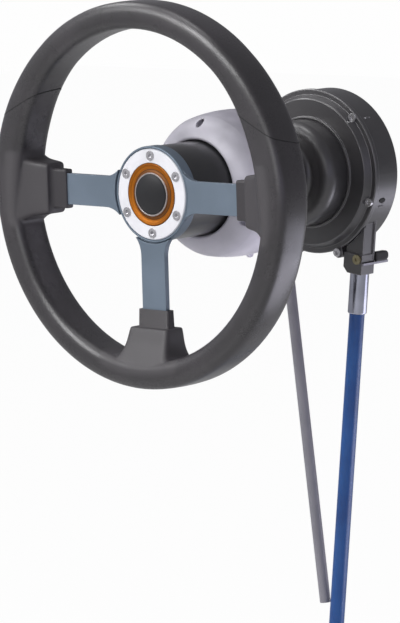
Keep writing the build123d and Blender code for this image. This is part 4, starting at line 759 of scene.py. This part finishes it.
def cable_route():
    """The spline's control points, in metres."""
    route = [along_cable(station) for station in STRAIGHT_STATIONS]
    centre = along_cable(COIL_ENTRY) - Vector((cos(LEAN), 0, -sin(LEAN))) * COIL_R
    steps = int(COIL_TURNS * TURN_POINTS)
    reach = COIL_R / cos(pi / TURN_POINTS)
    sweep = COIL_TURNS * 2 * pi
    for step in range(1, steps + 1):
        share = (step - 0.5) / steps
        angle = -LEAN - sweep * share
        route.append(Vector((
            centre.x + reach * cos(angle),
            CABLE_Y + COIL_TURNS * COIL_PITCH * share,
            centre.z + reach * sin(angle),
        )))
    tail_y = CABLE_Y + COIL_TURNS * COIL_PITCH
    for run in TAIL_STATIONS:
        route.append(Vector((centre.x + run, tail_y, centre.z + COIL_R)))
    return [point * MM for point in route]


def smooth_curve(name, points, radius, finish):
    data = bpy.data.curves.new(name, "CURVE")
    data.dimensions = "3D"
    spline = data.splines.new("NURBS")
    spline.points.add(len(points) - 1)
    for point, place in zip(spline.points, points):
        point.co = (*place, 1.0)
    spline.order_u = 3
    spline.use_endpoint_u = True
    data.resolution_u = CURVE_STEPS
    data.bevel_depth = radius
    data.bevel_resolution = CURVE_RING
    data.use_fill_caps = True
    data.materials.append(finish)
    made = bpy.data.objects.new(name, data)
    bpy.context.scene.collection.objects.link(made)
    return made


cable = smooth_curve("steering_cable", cable_route(), CABLE_R * MM, FINISH["cable"])
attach(cable, "helm")
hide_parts("cable_run", "cable_coil", "cable_tail")


# Pale room and soft studio light

FLOOR_Z = -0.70
FLOOR_SIZE = 8.0
FLOOR_GREY = (0.62, 0.62, 0.62)
FLOOR_GLOW = 0.97
GLOSS_SHARE = 0.15
BACKDROP = 0.99
ROOM_GREY = (0.23, 0.23, 0.245)

# Where each card hangs, how well a direction agrees with that at its edge and in its middle, tint
ROOM_CARDS = (
    ((-0.62, -0.45, 0.64), 0.45, 0.97, (0.95, 0.95, 0.98)),
    ((0.86, -0.36, -0.30), 0.60, 0.98, (0.70, 0.68, 0.86)),
    ((-0.95, 0.10, -0.20), 0.50, 1.00, (0.45, 0.45, 0.50)),
)

# Name, place, aim, size, power and tint
LAMPS = (
    ("key_lamp", (-0.25, -2.10, 1.50), (0, -0.05, -0.02), (1.5, 0.5), 19, WHITE),
    ("front_lamp", (1.2, -2.4, 0.6), (0, 0, 0), (1.6, 1.4), 12, WHITE),
    ("crest_lamp", (-1.50, -2.00, 0.95), (0, -0.1, 0.05), (0.8, 0.5), 9, WHITE),
    ("middle_lamp", (-0.80, -2.00, 1.05), (0, -0.1, 0.05), (0.5, 0.4), 9, WHITE),
    ("top_lamp", (-0.30, -0.35, 1.90), (0, 0.05, 0), (0.7, 0.5), 4, WHITE),
    ("sky_lamp", (-1.47, -0.23, 1.63), (0, 0.03, 0.05), (0.6, 0.6), 8, WHITE),
    ("grip_lamp", (0.47, 0.36, -0.50), (-0.13, -0.14, 0.06), (0.3, 0.3), 0.8, (0.88, 0.86, 1.0)),
    ("low_lamp", (0.70, 1.00, -0.58), (0.05, 0, -0.05), (0.9, 0.36), 2.3, (0.86, 0.85, 1.0)),
)


def studio_floor():
    """A pale floor that glows white for the camera and only a little for reflections."""
    finish = Finish("studio_floor", FLOOR_GREY, roughness=0.8)
    seen, shine, through = (
        finish.node("ShaderNodeLightPath", output=ray)
        for ray in ("Is Camera Ray", "Is Glossy Ray", "Is Transmission Ray")
    )
    share = seen.most(shine * GLOSS_SHARE).most(through) * FLOOR_GLOW
    surface = Signal(finish, finish.shader.outputs[0])
    glow = finish.node("ShaderNodeEmission", values={"Color": WHITE, "Strength": 1.0})
    mixed = finish.node("ShaderNodeMixShader", values=[share, surface, glow])
    finish.feed(finish.tree.nodes["Material Output"].inputs["Surface"], mixed)
    form = bmesh.new()
    bmesh.ops.create_grid(form, x_segments=1, y_segments=1, size=FLOOR_SIZE)
    bmesh.ops.translate(form, verts=form.verts, vec=(0, 0, FLOOR_Z))
    mesh = bpy.data.meshes.new("studio_floor")
    form.to_mesh(mesh)
    form.free()
    mesh.materials.append(finish.material)
    floor = bpy.data.objects.new("studio_floor", mesh)
    bpy.context.scene.collection.objects.link(floor)


def room_air():
    """The studio round the object: grey air with three soft pale cards in it, white behind."""
    world = bpy.data.worlds.new("studio_air")
    bpy.context.scene.world = world
    world.use_nodes = True
    wiring = Wiring(world.node_tree)
    toward = wiring.node("ShaderNodeTexCoord", output="Generated")
    colour = ROOM_GREY
    for aim, edge, middle, tint in ROOM_CARDS:
        aimed = wiring.dot(toward, Vector(aim).normalized())
        colour = wiring.blend(aimed.ramp(edge, middle), colour, tint)
    background = world.node_tree.nodes["Background"]
    wiring.feed(background.inputs["Color"], colour)
    air = Signal(wiring, background.outputs[0])
    white = wiring.node("ShaderNodeBackground", values={"Color": WHITE, "Strength": BACKDROP})
    seen = wiring.node("ShaderNodeLightPath", output="Is Camera Ray")
    mixed = wiring.node("ShaderNodeMixShader", values=[seen, air, white])
    wiring.feed(world.node_tree.nodes["World Output"].inputs["Surface"], mixed)


def soft_lamp(name, place, aim, size, power, tint):
    lamp = bpy.data.lights.new(name, "AREA")
    lamp.shape = "RECTANGLE"
    lamp.size, lamp.size_y = size
    lamp.energy = power
    lamp.color = tint
    made = bpy.data.objects.new(name, lamp)
    bpy.context.scene.collection.objects.link(made)
    made.location = place
    made.rotation_euler = (Vector(aim) - Vector(place)).to_track_quat("-Z", "Y").to_euler()
    made.visible_camera = False


studio_floor()
room_air()
for lamp_row in LAMPS:
    soft_lamp(*lamp_row)

bpy.context.scene.view_settings.view_transform = "Standard"
